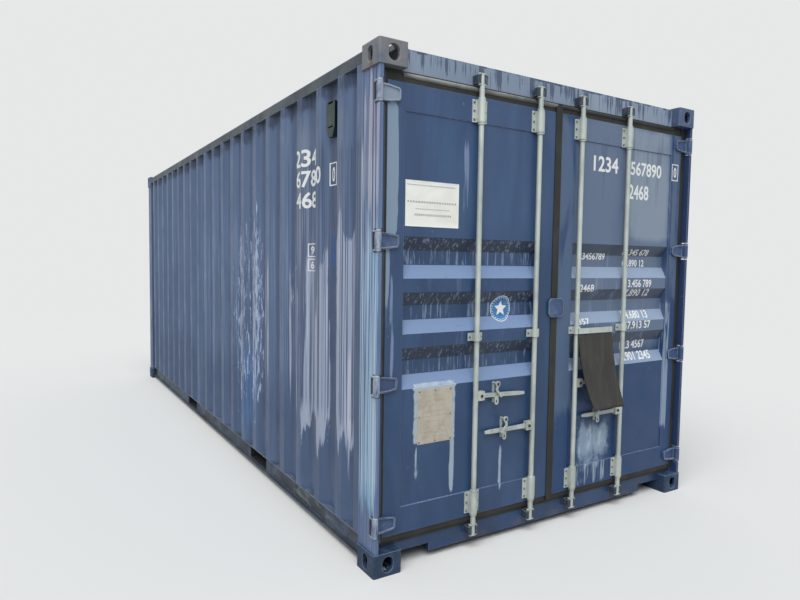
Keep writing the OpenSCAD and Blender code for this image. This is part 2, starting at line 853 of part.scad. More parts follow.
module lock_rod(i) {
    inner_r = rod_r - rod_t;
    plug = neck_l + plug_l;
    collar_off = guide_h / 2 + collar_gap + collar_h / 2;
    color(galvanised) at_door() toward_handle(i) difference() {
        union() {
            translate([0, 0, cam_low]) cylinder(r = neck_r, h = cam_high - cam_low);
            translate([0, 0, cam_low + neck_l])
                cylinder(r = rod_r, h = cam_high - cam_low - 2 * neck_l);
            for (z = [cam_low, cam_high]) translate([0, 0, z]) cam();
            for (z = [guide_low, guide_high], s = [-1, 1]) collar(z + s * collar_off);
            handle_fork(rod_handle_z[i]);
        }
        translate([0, 0, cam_low + plug]) cylinder(r = inner_r, h = cam_high - cam_low - 2 * plug);
    }
}

module lock_rod_1() { lock_rod(0); }
module lock_rod_2() { lock_rod(1); }
module lock_rod_3() { lock_rod(2); }
module lock_rod_4() { lock_rod(3); }

// Flat bar with a rounded eye, its own pin and a narrowed grip.
neck_x = 120;
neck_half = handle_h / 2 - 2;
grip_l = 40;
grip_half = handle_h / 2 - 6;
bar_play = 0.5;
pin_front_end = 3;
pin_back_end = 2;

module handle(i) {
    bar_y = slot_front + bar_play - rod_deep;
    color(galvanised) at_door() toward_handle(i)
        translate([pivot_out, 0, rod_handle_z[i]]) rotate([0, rod_droop[i], 0])
        translate([-pivot_out, 0, 0]) {
            translate([pivot_out, bar_y, 0]) rotate([-90, 0, 0])
                cylinder(d = handle_h, h = handle_t);
            translate([0, bar_y + handle_t, 0]) rotate([90, 0, 0])
                linear_extrude(handle_t)
                polygon([[pivot_out, -handle_h / 2], [neck_x, -neck_half],
                         [handle_reach - grip_l, -neck_half], [handle_reach, -grip_half],
                         [handle_reach, grip_half], [handle_reach - grip_l, neck_half],
                         [neck_x, neck_half], [pivot_out, handle_h / 2]]);
            translate([pivot_out, hub_front - pin_front_end - rod_deep, 0]) rotate([-90, 0, 0])
                cylinder(r = pivot_r, h = hub_back - hub_front + pin_front_end + pin_back_end);
        }
}

module handle_1() { handle(0); }
module handle_2() { handle(1); }
module handle_3() { handle(2); }
module handle_4() { handle(3); }

// Catch on the leaf: a narrow foot on the panel, a boss with a headed pin for
// the latch above the bar, a shelf under the bar and a seal lobe below it.
foot_half = 7;
foot_t = 6;
shelf_half = 13;
shelf_t = 6;
lobe_front = 12;
lobe_t = 4;
lobe_r = 14;
lobe_z = [-40, -32];
lobe_hole_r = 5;
boss_r = 7;
boss_front = 8;
latch_pin_r = 4.5;
latch_head_r = 8;
latch_front = 2;
latch_side_play = 0.4;
latch_head_t = 1.4;
latch_head_y = [latch_front - latch_side_play - latch_head_t, latch_front - latch_side_play];

// How much lower the bar lies at the catch than at its pin.
function catch_drop(i) = (rod_catch[i] - pivot_out) * tan(rod_droop[i]);

module at_catch(i) {
    at_door() toward_handle(i)
        translate([rod_catch[i], -rod_deep, rod_handle_z[i] - catch_drop(i)]) children();
}

module disc(r, z, y) {
    translate([0, y[1], z]) rotate([90, 0, 0]) cylinder(r = r, h = y[1] - y[0]);
}

module catch(i) {
    shelf_top = -neck_half - 2 * bar_play;
    lobe_y = [lobe_front, lobe_front + lobe_t];
    color(galvanised) at_catch(i) {
        block([-foot_half, foot_half], [panel_face - foot_t, panel_face], [lobe_z[0], latch_up]);
        disc(foot_half, lobe_z[0], [panel_face - foot_t, panel_face]);
        disc(foot_half, latch_up, [panel_face - foot_t, panel_face]);
        disc(boss_r, latch_up, [boss_front, panel_face]);
        disc(latch_pin_r, latch_up, [latch_head_y[0], panel_face]);
        disc(latch_head_r, latch_up, latch_head_y);
        block([-shelf_half, shelf_half], [lobe_front, panel_face],
              [shelf_top - shelf_t, shelf_top]);
        difference() {
            union() {
                for (z = lobe_z) disc(lobe_r, z, lobe_y);
                block([-lobe_r, lobe_r], lobe_y, lobe_z);
                block([-shelf_half, shelf_half], lobe_y, [lobe_z[1], shelf_top + shelf_t]);
            }
            for (z = lobe_z) disc(lobe_hole_r, z, [lobe_front - 1, lobe_front + lobe_t + 1]);
            block([-lobe_hole_r, lobe_hole_r], [lobe_front - 1, lobe_front + lobe_t + 1], lobe_z);
        }
    }
}

module left_leaf_catches() {
    catch(0);
    catch(1);
}

module right_leaf_catches() {
    catch(2);
    catch(3);
}

// Bent latch that hangs on the catch and crosses in front of the handle bar.
latch_eye_r = 16;
latch_play = 0.4;
latch_line = [[-9, -10], [-14, -24], [-13, -38], [6, -56], [20, -74], [30, -76], [32, -68],
              [18, -50], [3, -36], [2, -26], [9, -10]];

module handle_latch(i) {
    y = [latch_front, latch_front + latch_t];
    color(galvanised) at_catch(i) difference() {
        union() {
            disc(latch_eye_r, latch_up, y);
            translate([0, y[1], latch_up]) rotate([90, 0, 0]) linear_extrude(latch_t)
                polygon(latch_line);
        }
        disc(latch_pin_r + latch_play, latch_up, [y[0] - 1, y[1] + 1]);
    }
}

module handle_latch_1() { handle_latch(0); }
module handle_latch_2() { handle_latch(1); }
module handle_latch_3() { handle_latch(2); }
module handle_latch_4() { handle_latch(3); }

// Rod guide: base plate on the leaf and a rounded cover over the rod.
module guide(z, h) {
    cover_r = rod_r + rod_clear + guide_t;
    back = leaf_front - rod_deep;
    translate([0, rod_deep, z - h / 2]) difference() {
        union() {
            block([-guide_w / 2, guide_w / 2], [back - guide_base_t, back], [0, h]);
            cylinder(r = cover_r, h = h);
            block([-cover_r, cover_r], [0, back], [0, h]);
        }
        translate([0, 0, -1]) cylinder(r = rod_r + rod_clear, h = h + 2);
        block([-cover_r, cover_r], [back, back + guide_t], [-1, h + 1]);
    }
}

module leaf_guides(first) {
    color(galvanised) at_door() for (i = [first, first + 1]) translate([rod_x[i], 0, 0]) {
        guide(guide_low, guide_h);
        guide(guide_high, guide_h);
        guide(guide_mid, mid_guide_h);
        mid_guide_pad();
    }
}

// The middle guides stand on the panel, which lies deeper than the frame, with
// a pad between that ends at the frame tube beside it.
module mid_guide_pad() {
    pad_half = rod_inner - leaf_in - lock_stile_w;
    block([-pad_half, pad_half], [leaf_front, panel_face],
          [guide_mid - mid_guide_h / 2, guide_mid + mid_guide_h / 2]);
}

module left_leaf_guides() { leaf_guides(0); }
module right_leaf_guides() { leaf_guides(2); }

// Everything of a leaf is drawn for the left one, between its outer edge at
// -leaf_out and its inner edge at -leaf_in, and mirrored for the right one.
module leaf_frame() {
    y = [leaf_front, leaf_back];
    t = leaf_tube_t;
    x_a = -leaf_out + hinge_stile_w;
    x_b = -leaf_in - lock_stile_w;
    at_door() difference() {
        block([-leaf_out, -leaf_in], y, [leaf_low, leaf_top]);
        block([x_a, x_b], [y[0] - 1, y[1] + 1],
              [leaf_low + bottom_rail_h, leaf_top - top_rail_h]);
        block([-leaf_out + t, x_a - t], [y[0] + t, y[1] - t], [leaf_low + t, leaf_top - t]);
        block([x_b + t, -leaf_in - t], [y[0] + t, y[1] - t], [leaf_low + t, leaf_top - t]);
        block([x_a, x_b], [y[0] + t, y[1] - t],
              [leaf_low + t, leaf_low + bottom_rail_h - t]);
        block([x_a, x_b], [y[0] + t, y[1] - t], [leaf_top - top_rail_h + t, leaf_top - t]);
    }
}

panel_line = concat(
    [[leaf_top - top_rail_h, 0]],
    [for (i = [0:panel_wave_count - 1], k = [0:3])
        [panel_wave_top - i * panel_wave_pitch
            - [0, panel_wave_slope, panel_wave_slope + panel_wave_inner,
               2 * panel_wave_slope + panel_wave_inner][k],
         k == 0 || k == 3 ? 0 : panel_wave_depth]],
    [[leaf_low + bottom_rail_h, 0]]
);

module leaf_panel() {
    x_a = -leaf_out + hinge_stile_w;
    x_b = -leaf_in - lock_stile_w;
    n = len(panel_line);
    at_door() translate([x_a, panel_face, 0]) rotate([90, 0, 90]) linear_extrude(x_b - x_a)
        polygon(concat([for (p = panel_line) [p[1], p[0]]],
                       [for (i = [n - 1:-1:0]) [panel_line[i][1] + sheet_t, panel_line[i][0]]]));
}

// Seal round the leaf: a body in the gap and a lip over the frame around it.
face_lip_t = 4;
left_lap = 15;
right_lap = 4;

module leaf_seal(middle_lap) {
    g = seal_gap;
    body = [leaf_front + 4, leaf_back - 4];
    x_gap = opening_half - g;
    z_low = sill_top + g;
    z_top = header_low - g;
    side_lip = [post_front - g - seal_lip, post_front - g];
    beam_lip = [beam_front - g - seal_lip, beam_front - g];
    face_lip = [leaf_front - face_lip_t, leaf_front];
    at_door() difference() {
        union() {
            block([-x_gap, -g], body, [z_low, z_top]);
            block([-x_gap - seal_lap, -leaf_out], side_lip, [z_low, z_top]);
            block([-x_gap, -g], beam_lip, [z_top - 1, z_top + seal_beam_lap]);
            block([-x_gap, -g], beam_lip, [z_low - seal_beam_lap, z_low + 1]);
            block([-leaf_in - middle_lap, -leaf_in], face_lip, [z_low, z_top]);
            block([-leaf_in, -g], [face_lip[0], body[1]], [z_low, z_top]);
        }
        block([-leaf_out, -leaf_in], [leaf_front, leaf_back + 1], [leaf_low, leaf_top]);
    }
}

pin_x = half_w - pin_in;

// Hinge blade: an eye round the pin and a plate on the leaf whose edges are
// raised above and below a sunk middle.
blade_rim = 8;
blade_sink = 6;
blade_round = 16;
blade_taper = 0.78;
blade_flat = 0.4;

module blade_outline(inset) {
    near = blade_h / 2 - inset;
    far = near * blade_taper;
    x = blade_l - inset;
    r = blade_round - inset / 2;
    polygon(concat(
        [[0, -near], [blade_l * blade_flat, -near]],
        [for (a = [-90:15:0]) [x - r + r * cos(a), -far + r + r * sin(a)]],
        [for (a = [0:15:90]) [x - r + r * cos(a), far - r + r * sin(a)]],
        [[blade_l * blade_flat, near], [0, near]]));
}

module blade() {
    difference() {
        union() {
            translate([-pin_x, pin_deep, -blade_h / 2]) cylinder(r = eye_r, h = blade_h);
            block([-pin_x - eye_r / 2, -pin_x + eye_r], [pin_deep, leaf_front],
                  [-blade_h / 2, blade_h / 2]);
            difference() {
                translate([-pin_x, leaf_front, 0]) rotate([90, 0, 0]) linear_extrude(blade_t)
                    blade_outline(0);
                translate([-pin_x, leaf_front - blade_t + blade_sink, 0]) rotate([90, 0, 0])
                    linear_extrude(blade_sink + 1) blade_outline(blade_rim);
            }
        }
        translate([-pin_x, pin_deep, -blade_h]) cylinder(r = pin_r + pin_clear, h = 2 * blade_h);
    }
}

module leaf_hinges() {
    at_door() for (z = hinge_z) translate([0, 0, z]) blade();
}

// Lugs above and below each hinge eye, on the front face of the post.
lug_r = eye_r - 1;
lug_play = 0.2;

module lug() {
    difference() {
        union() {
            translate([-pin_x, pin_deep, 0]) cylinder(r = lug_r, h = lug_t);
            block([-pin_x - lug_r, -pin_x + lug_r], [pin_deep, post_front], [0, lug_t]);
        }
        translate([-pin_x, pin_deep, -1]) cylinder(r = pin_r + lug_play, h = lug_t + 2);
    }
}

module hinge_lugs() {
    color(steel_blue) both_sides() at_door() for (z = hinge_z) {
        translate([0, 0, z + blade_h / 2 + lug_gap]) lug();
        translate([0, 0, z - blade_h / 2 - lug_gap - lug_t]) lug();
    }
}

pin_low = 3;
pin_head_h = 4;

module hinge_pins() {
    reach = blade_h / 2 + lug_gap + lug_t;
    color(galvanised) both_sides() at_door() for (z = hinge_z)
        translate([-pin_x, pin_deep, z]) {
            translate([0, 0, -reach - pin_low]) cylinder(r = pin_r, h = 2 * reach + pin_low);
            translate([0, 0, reach]) cylinder(r = pin_r + 3, h = pin_head_h);
        }
}

module left_leaf_frame() { color(steel_blue) leaf_frame(); }
module left_leaf_panel() { color(steel_blue) leaf_panel(); }
module left_leaf_seal() { color(black_rubber) leaf_seal(left_lap); }
module left_leaf_hinges() { color(steel_blue) leaf_hinges(); }
module right_leaf_frame() { color(steel_blue) mirror([1, 0, 0]) leaf_frame(); }
module right_leaf_panel() { color(steel_blue) mirror([1, 0, 0]) leaf_panel(); }
module right_leaf_seal() { color(black_rubber) mirror([1, 0, 0]) leaf_seal(right_lap); }
module right_leaf_hinges() { color(steel_blue) mirror([1, 0, 0]) leaf_hinges(); }

stile_edge = -leaf_out + hinge_stile_w;
data_x = stile_edge + data_in;
sign_x = stile_edge + sign_in;

module data_plate() {
    color("#a89d8b") at_door()
        block([data_x, data_x + data_w], [panel_face - plate_t, panel_face],
              [data_low, data_low + data_h]);
}

module sign_plate() {
    color("#dedfdc") at_door()
        block([sign_x, sign_x + sign_w], [panel_face - plate_t, panel_face],
              [sign_low, sign_low + sign_h]);
}

// Plate on a pad on the right leaf, which laps over the seal of the left one.
lap_plate_up = 139;
lap_plate_z = guide_mid + lap_plate_up;
lap_plate_x = 3;
lap_plate_half = [59, 54];
lap_plate_t = 8;
lap_plate_gap = 2;

module overlap_plate() {
    w = lap_plate_half[0];
    h = lap_plate_half[1];
    cut = h / 3;
    back = leaf_front - face_lip_t - lap_plate_gap;
    color(steel_blue) at_door() translate([0, 0, lap_plate_z]) {
        translate([lap_plate_x, back, 0]) rotate([90, 0, 0]) linear_extrude(lap_plate_t)
            polygon([[-w, -h + cut], [-w + cut, -h], [w - cut, -h], [w, -h + cut],
                     [w, h - cut], [w - cut, h], [-w + cut, h], [-w, h - cut]]);
        block([leaf_in + 2 * right_lap, lap_plate_x + w - cut], [back, leaf_front],
              [-h + cut, h - cut]);
    }
}

// Light flat bar on two stand-off bolts, which clamps the rubber flap.
bar_z = [guide_mid - 19, guide_mid + 13];
bar_y = [-8, 0];
flap_axis_y = (bar_y[0] + bar_y[1]) / 2;
flap_play = 0.3;
flap_axis_z = bar_z[0] - flap_t / 2 - flap_play;
bar_over = 4;
bar_bolt_r = 7;
bar_bolt_in = [80, 40];
bar_bolt_x = [flap_near + bar_bolt_in[0], flap_near + flap_w - bar_bolt_in[1]];

module flap_bar() {
    color(galvanised) at_door() {
        block([flap_near - bar_over, flap_near + flap_w + bar_over], bar_y, bar_z);
        for (x = bar_bolt_x)
            translate([x, panel_face, (bar_z[0] + bar_z[1]) / 2]) rotate([90, 0, 0])
                cylinder(r = bar_bolt_r, h = panel_face - bar_y[1]);
    }
}

// Side outline of the flap: it leaves the bar straight down and curls out.
flap_steps = 10;
flap_lean = flap_reach + flap_axis_y - flap_t / 2;
function flap_out(s) = -flap_lean * (0.55 * s + 0.45 * s * s);
flap_line = [for (i = [0:flap_steps]) [flap_out(i / flap_steps), -flap_l * i / flap_steps]];

module rubber_flap() {
    x = flap_near;
    color("#4a443c") at_door() translate([x, flap_axis_y, flap_axis_z]) {
        rotate([0, 90, 0]) cylinder(d = flap_t, h = flap_w);
        rotate([90, 0, 90]) linear_extrude(flap_w)
            polygon(concat([for (p = flap_line) [p[0] - flap_t / 2, p[1]]],
                           [for (i = [flap_steps:-1:0])
                            [flap_line[i][0] + flap_t / 2, flap_line[i][1]]]));
    }
}

vent_top = rail_top - rail_size - vent_drop;
vent_back_w = 66;
vent_foot_w = 48;
vent_taper = 0.7;

// Moulded cover in the first full recess of each side wall.
module ventilators() {
    mid = first_ridge + wave_pitch / 2;
    x_back = -side_face + wave_depth;
    color("#24413a") both_sides() at_door() intersection() {
        translate([0, 0, vent_top - vent_h]) linear_extrude(vent_h)
            polygon([[x_back, mid - vent_back_w / 2], [x_back - vent_d, mid - vent_w / 2],
                     [x_back - vent_d, mid + vent_w / 2], [x_back, mid + vent_back_w / 2]]);
        translate([x_back + 1, 0, vent_top]) rotate([90, 0, -90]) linear_extrude(vent_d + 2)
            polygon([[-mid - vent_w / 2 - 1, 1], [-mid - vent_w / 2 - 1, -vent_h * vent_taper],
                     [-mid - vent_foot_w / 2, -vent_h], [-mid + vent_foot_w / 2, -vent_h],
                     [-mid + vent_w / 2 + 1, -vent_h * vent_taper], [-mid + vent_w / 2 + 1, 1]]);
    }
}

corner_fittings_bottom();
corner_fittings_top();
door_post_left();
door_post_right();
door_post_edges();
blind_end_posts();
door_header();
door_sill();
blind_end_beams();
roof_rails();
lower_side_rails();
cross_members();
forklift_pockets();
floor_boards();
floor_centre_bar();
side_wall_left();
side_wall_right();
blind_end_wall();
roof_panel();
roof_corner_plates();
cam_keepers();
hinge_lugs();
hinge_pins();
ventilators();
left_leaf_frame();
left_leaf_panel();
left_leaf_seal();
left_leaf_hinges();
left_leaf_guides();
left_leaf_catches();
data_plate();
sign_plate();
right_leaf_frame();
right_leaf_panel();
right_leaf_seal();
right_leaf_hinges();
right_leaf_guides();
right_leaf_catches();
overlap_plate();
flap_bar();
rubber_flap();
lock_rod_1();
lock_rod_2();
lock_rod_3();
lock_rod_4();
handle_1();
handle_2();
handle_3();
handle_4();
handle_latch_1();
handle_latch_2();
handle_latch_3();
handle_latch_4();
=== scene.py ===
"""A weathered blue freight container: paint, zinc, rubber, numbers and fasteners over its frame."""

import math

import bmesh
import bpy
from mathutils import Matrix, Vector


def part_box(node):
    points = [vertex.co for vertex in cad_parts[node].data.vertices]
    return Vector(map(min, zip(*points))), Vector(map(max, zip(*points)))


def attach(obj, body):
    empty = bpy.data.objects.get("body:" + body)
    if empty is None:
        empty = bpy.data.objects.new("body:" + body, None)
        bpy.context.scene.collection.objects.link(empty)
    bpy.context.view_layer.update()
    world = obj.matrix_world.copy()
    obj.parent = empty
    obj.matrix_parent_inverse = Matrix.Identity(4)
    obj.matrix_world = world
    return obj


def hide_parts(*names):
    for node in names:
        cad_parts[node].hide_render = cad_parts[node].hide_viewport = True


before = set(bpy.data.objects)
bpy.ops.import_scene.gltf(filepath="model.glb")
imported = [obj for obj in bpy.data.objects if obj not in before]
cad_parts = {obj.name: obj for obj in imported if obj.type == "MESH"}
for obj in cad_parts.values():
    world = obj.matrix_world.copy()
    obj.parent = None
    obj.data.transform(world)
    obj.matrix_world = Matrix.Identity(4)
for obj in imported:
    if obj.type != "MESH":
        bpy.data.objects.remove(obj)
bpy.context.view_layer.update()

# Lengths are in metres; depths count from the end faces of the door end fittings.
DOOR_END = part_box("corner_fittings_bottom")[0][1]
LEAF_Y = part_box("left_leaf_frame")[0][1]
PANEL_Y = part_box("left_leaf_panel")[0][1]
WALL_X = -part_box("side_wall_left")[0][0]
DOORS = ("left_door", "right_door")
# Lock rods from left to right, and hinges from bottom to top.
ROD_X = (-0.590, -0.170, 0.170, 0.590)
HINGE_Z = (0.248, 0.949, 1.650, 2.351)
# Upper edges of the waves in a leaf, and each wave's corners as (distance below that edge, depth).
WAVE_TOPS = (1.120, 1.398, 1.676)
WAVE = ((0.208, 0.0), (0.140, 0.036), (0.068, 0.036), (0.0, 0.0))
# Ridges of the side wall: pitch, the depth of the first one's middle, and corners around a middle.
RIDGE_PITCH, FIRST_RIDGE, RIDGE_COUNT = 0.278, 0.418, 20
RIDGE = ((-0.104, 0.036), (-0.036, 0.0), (0.036, 0.0), (0.104, 0.036))


# Camera

CAMERA_AT = (-2.6461, -5.4902, 1.5484)
CAMERA_TURN = (0.5553, -0.0617, 0.0139)
FOCAL_PX, WIDTH_PX, SENSOR_MM = 611.33, 800, 36


def photo_camera():
    """Camera solved from the corners of the container in the photograph."""
    yaw, pitch, roll = CAMERA_TURN
    ahead = Vector((math.sin(yaw) * math.cos(pitch), math.cos(yaw) * math.cos(pitch), math.sin(pitch)))
    side = ahead.cross(Vector((0, 0, 1))).normalized()
    top = side.cross(ahead)
    right = side * math.cos(roll) + top * math.sin(roll)
    up = top * math.cos(roll) - side * math.sin(roll)
    data = bpy.data.cameras.new("photo_view")
    data.sensor_width = SENSOR_MM
    data.lens = FOCAL_PX / WIDTH_PX * SENSOR_MM
    data.clip_start, data.clip_end = 0.05, 200
    cam = bpy.data.objects.new("photo_view", data)
    turn = Matrix((right, up, -ahead)).transposed().to_4x4()
    cam.matrix_world = Matrix.Translation(CAMERA_AT) @ turn
    bpy.context.collection.objects.link(cam)
    bpy.context.scene.camera = cam


photo_camera()


# Materials

def linear(colour):
    """Turns an sRGB hex colour into the linear values of a socket."""
    parts = [int(colour[i:i + 2], 16) / 255 for i in (1, 3, 5)]
    return [c / 12.92 if c <= 0.04045 else ((c + 0.055) / 1.055) ** 2.4 for c in parts] + [1.0]


def add(tree, kind, ins=None, **props):
    """Adds one node, sets its properties and fills its inputs with values or links."""
    node = tree.nodes.new(kind)
    for key, value in props.items():
        setattr(node, key, value)
    for key, value in (ins or {}).items():
        if isinstance(value, bpy.types.NodeSocket):
            tree.links.new(value, node.inputs[key])
        else:
            node.inputs[key].default_value = value
    return node


def start(name):
    """A new material, its node tree, its principled shader and the object coordinates."""
    mat = bpy.data.materials.new(name)
    mat.use_nodes = True
    tree = mat.node_tree
    tree.nodes.clear()
    skin = add(tree, "ShaderNodeBsdfPrincipled")
    add(tree, "ShaderNodeOutputMaterial", {"Surface": skin.outputs["BSDF"]})
    place = add(tree, "ShaderNodeTexCoord").outputs["Object"]
    return mat, tree, skin, place


def patch(tree, place, lo, hi, soft):
    """1 inside the box from lo to hi, falling to 0 over the soft distances around its faces."""
    mid = [(a + b) / 2 for a, b in zip(lo, hi)]
    half = [(b - a) / 2 for a, b in zip(lo, hi)]
    v = add(tree, "ShaderNodeVectorMath", {0: place, 1: mid}, operation="SUBTRACT").outputs[0]
    v = add(tree, "ShaderNodeVectorMath", {0: v}, operation="ABSOLUTE").outputs[0]
    v = add(tree, "ShaderNodeVectorMath", {0: v, 1: [-1 / s for s in soft],
                                           2: [0.5 + h / s for h, s in zip(half, soft)]},
            operation="MULTIPLY_ADD").outputs[0]
    v = add(tree, "ShaderNodeVectorMath", {0: v, 1: (1, 1, 1)}, operation="MINIMUM").outputs[0]
    v = add(tree, "ShaderNodeVectorMath", {0: v, 1: (0, 0, 0)}, operation="MAXIMUM").outputs[0]
    part = add(tree, "ShaderNodeSeparateXYZ", {0: v}).outputs
    v = add(tree, "ShaderNodeMath", {0: part[0], 1: part[1]}, operation="MULTIPLY").outputs[0]
    return add(tree, "ShaderNodeMath", {0: v, 1: part[2]}, operation="MULTIPLY").outputs[0]


def chalk_and_shade_by_facing(tree, place, colour, tint, sign, scale, strength):
    """Tints the faces that look up (sign 1) with settled chalk and painted light from above, and those
    that look down (sign -1) with painted shade.
    """
    normal = add(tree, "ShaderNodeNewGeometry").outputs["Normal"]
    rise = add(tree, "ShaderNodeSeparateXYZ", {0: normal}).outputs[2]
    spot = add(tree, "ShaderNodeVectorMath", {0: place, 1: scale}, operation="MULTIPLY").outputs[0]
    noise = add(tree, "ShaderNodeTexNoise", {"Vector": spot, "Scale": 1.0, "Detail": 5.0,
                                             "Distortion": 0.6}).outputs[0]
    # The noise adds some 0.5, so the tint is full from a rise of about 0.4.
    reach = add(tree, "ShaderNodeMath", {0: rise, 1: 2 * sign, 2: noise},
                operation="MULTIPLY_ADD").outputs[0]
    mask = add(tree, "ShaderNodeMapRange", {"Value": reach, "From Min": 0.90, "From Max": 1.35,
                                            "To Max": strength},
               interpolation_type="SMOOTHSTEP").outputs[0]
    return add(tree, "ShaderNodeMix", {0: mask, 6: colour, 7: linear(tint)},
               data_type="RGBA").outputs[2]


# Sum of a layer's noise, level and patches at which it covers by half.
HALF_COVER = 0.85


def coating(tree, place, colour, layers):
    """Lays each layer over the colour: (hex, scale, detail, level, sharp, strength, patches).

    scale is the noise's repeats per metre along x, y and z, so a small z value draws long runs.
    level is how much of the surface the layer covers, to which each patch adds its own amount.
    A layer of four values tints, by its sign, the faces that look up with chalk and painted light, and
    those that look down with painted shade."""
    for layer in layers:
        if len(layer) == 4:
            colour = chalk_and_shade_by_facing(tree, place, colour, *layer)
            continue
        tint, scale, detail, level, sharp, strength, patches = layer
        spot = add(tree, "ShaderNodeVectorMath", {0: place, 1: scale}, operation="MULTIPLY").outputs[0]
        noise = add(tree, "ShaderNodeTexNoise", {"Vector": spot, "Scale": 1.0, "Detail": detail,
                                                 "Roughness": 0.62, "Distortion": 0.5}).outputs[0]
        cover = level
        for amount, lo, hi, soft in patches:
            mask = patch(tree, place, lo, hi, soft)
            cover = add(tree, "ShaderNodeMath", {0: mask, 1: amount, 2: cover},
                        operation="MULTIPLY_ADD").outputs[0]
        reach = add(tree, "ShaderNodeMath", {0: noise, 1: cover}, operation="ADD").outputs[0]
        mask = add(tree, "ShaderNodeMapRange", {"Value": reach, "From Min": HALF_COVER - sharp,
                                                "From Max": HALF_COVER + sharp, "To Max": strength},
                   interpolation_type="SMOOTHSTEP").outputs[0]
        colour = add(tree, "ShaderNodeMix", {0: mask, 6: colour, 7: linear(tint)},
                     data_type="RGBA").outputs[2]
    return colour


def worn_edges(tree, place, colour, tint, radius, amount):
    """Shows a rubbed colour where the softened normal leaves the true one, which is along edges."""
    soft = add(tree, "ShaderNodeBevel", {"Radius": radius}, samples=6).outputs[0]
    true = add(tree, "ShaderNodeNewGeometry").outputs["Normal"]
    same = add(tree, "ShaderNodeVectorMath", {0: soft, 1: true},
               operation="DOT_PRODUCT").outputs["Value"]
    noise = add(tree, "ShaderNodeTexNoise", {"Vector": place, "Scale": 34.0, "Detail": 4.0}).outputs[0]
    # -0.25 on a flat and some 0.6 on a square edge, to which the noise adds about 0.5.
    near = add(tree, "ShaderNodeMath", {0: same, 1: -3.0, 2: 2.75}, operation="MULTIPLY_ADD").outputs[0]
    reach = add(tree, "ShaderNodeMath", {0: near, 1: noise}, operation="ADD").outputs[0]
    mask = add(tree, "ShaderNodeMapRange", {"Value": reach, "From Min": 0.42, "From Max": 0.62,
                                            "To Max": amount},
               interpolation_type="SMOOTHSTEP").outputs[0]
    return add(tree, "ShaderNodeMix", {0: mask, 6: colour, 7: linear(tint)},
               data_type="RGBA").outputs[2]


def skin_of(name, base, layers, rough, metal=0.0, waves=0.0, grit=0.00012, edge=0.002, worn=None,
            over=()):
    """Material with layered colour, uneven roughness, large dents, fine grit and softened edges."""
    mat, tree, skin, place = start(name)
    colour = coating(tree, place, linear(base), layers)
    if worn:
        colour = worn_edges(tree, place, colour, *worn)
    colour = coating(tree, place, colour, over)
    tree.links.new(colour, skin.inputs["Base Color"])
    skin.inputs["Metallic"].default_value = metal
    spread = add(tree, "ShaderNodeTexNoise", {"Vector": place, "Scale": 7.0, "Detail": 5.0}).outputs[0]
    spread = add(tree, "ShaderNodeMapRange", {"Value": spread, "From Min": 0.3, "From Max": 0.7,
                                              "To Min": rough[0], "To Max": rough[1]}).outputs[0]
    tree.links.new(spread, skin.inputs["Roughness"])
    normal = add(tree, "ShaderNodeBevel", {"Radius": edge}, samples=4).outputs[0]
    # Dents of some 0.4 m, then grit of 2 mm.
    for scale, detail, depth in ((2.6, 1.0, waves), (420.0, 3.0, grit)):
        if depth:
            height = add(tree, "ShaderNodeTexNoise", {"Vector": place, "Scale": scale,
                                                      "Detail": detail}).outputs[0]
            normal = add(tree, "ShaderNodeBump", {"Height": height, "Strength": 1.0, "Distance": depth,
                                                  "Normal": normal}).outputs[0]
    tree.links.new(normal, skin.inputs["Normal"])
    return mat


# Noise scales in repeats per metre along x, y and z: lime runs some 40 mm wide and 2 m long, drips
# of 20 mm, hair lines of 12 mm, wide bleached clouds of half a metre and blots of 110 mm.
THIN = (26, 26, 0.5)
DRIPS = (52, 52, 0.9)
LINES = (80, 80, 0.35)
HAZE = (2.0, 2.0, 0.7)
BLOT = (9, 9, 9)
# Reaches past the container, for a patch that has no bound on a side.
FAR = 50.0
# How deep into a leaf's sheet a patch on its outer face goes, and over what it fades.
SKIN_DEEP, SKIN_FADE = 0.0011, 0.0012


def on_side(amount, d0, d1, z0, z1, soft=(0.05, 0.35)):
    """A patch on the left long side, between two depths and two heights."""
    return (amount, (-FAR, DOOR_END + d0, z0), (-1.0, DOOR_END + d1, z1), (0.1, soft[0], soft[1]))


def on_end(amount, x0, x1, z0, z1, soft=(0.03, 0.3)):
    """A patch on the door end, between two places across and two heights."""
    return (amount, (x0, -FAR, z0), (x1, 0, z1), (soft[0], 1, soft[1]))


def on_front(amount, x0, x1, z0, z1, soft=(0.03, 0.1)):
    """A patch on the outer face of a leaf's flat panel alone, which is a thin sheet."""
    return (amount, (x0, -FAR, z0), (x1, PANEL_Y + SKIN_DEEP, z1), (soft[0], SKIN_FADE, soft[1]))
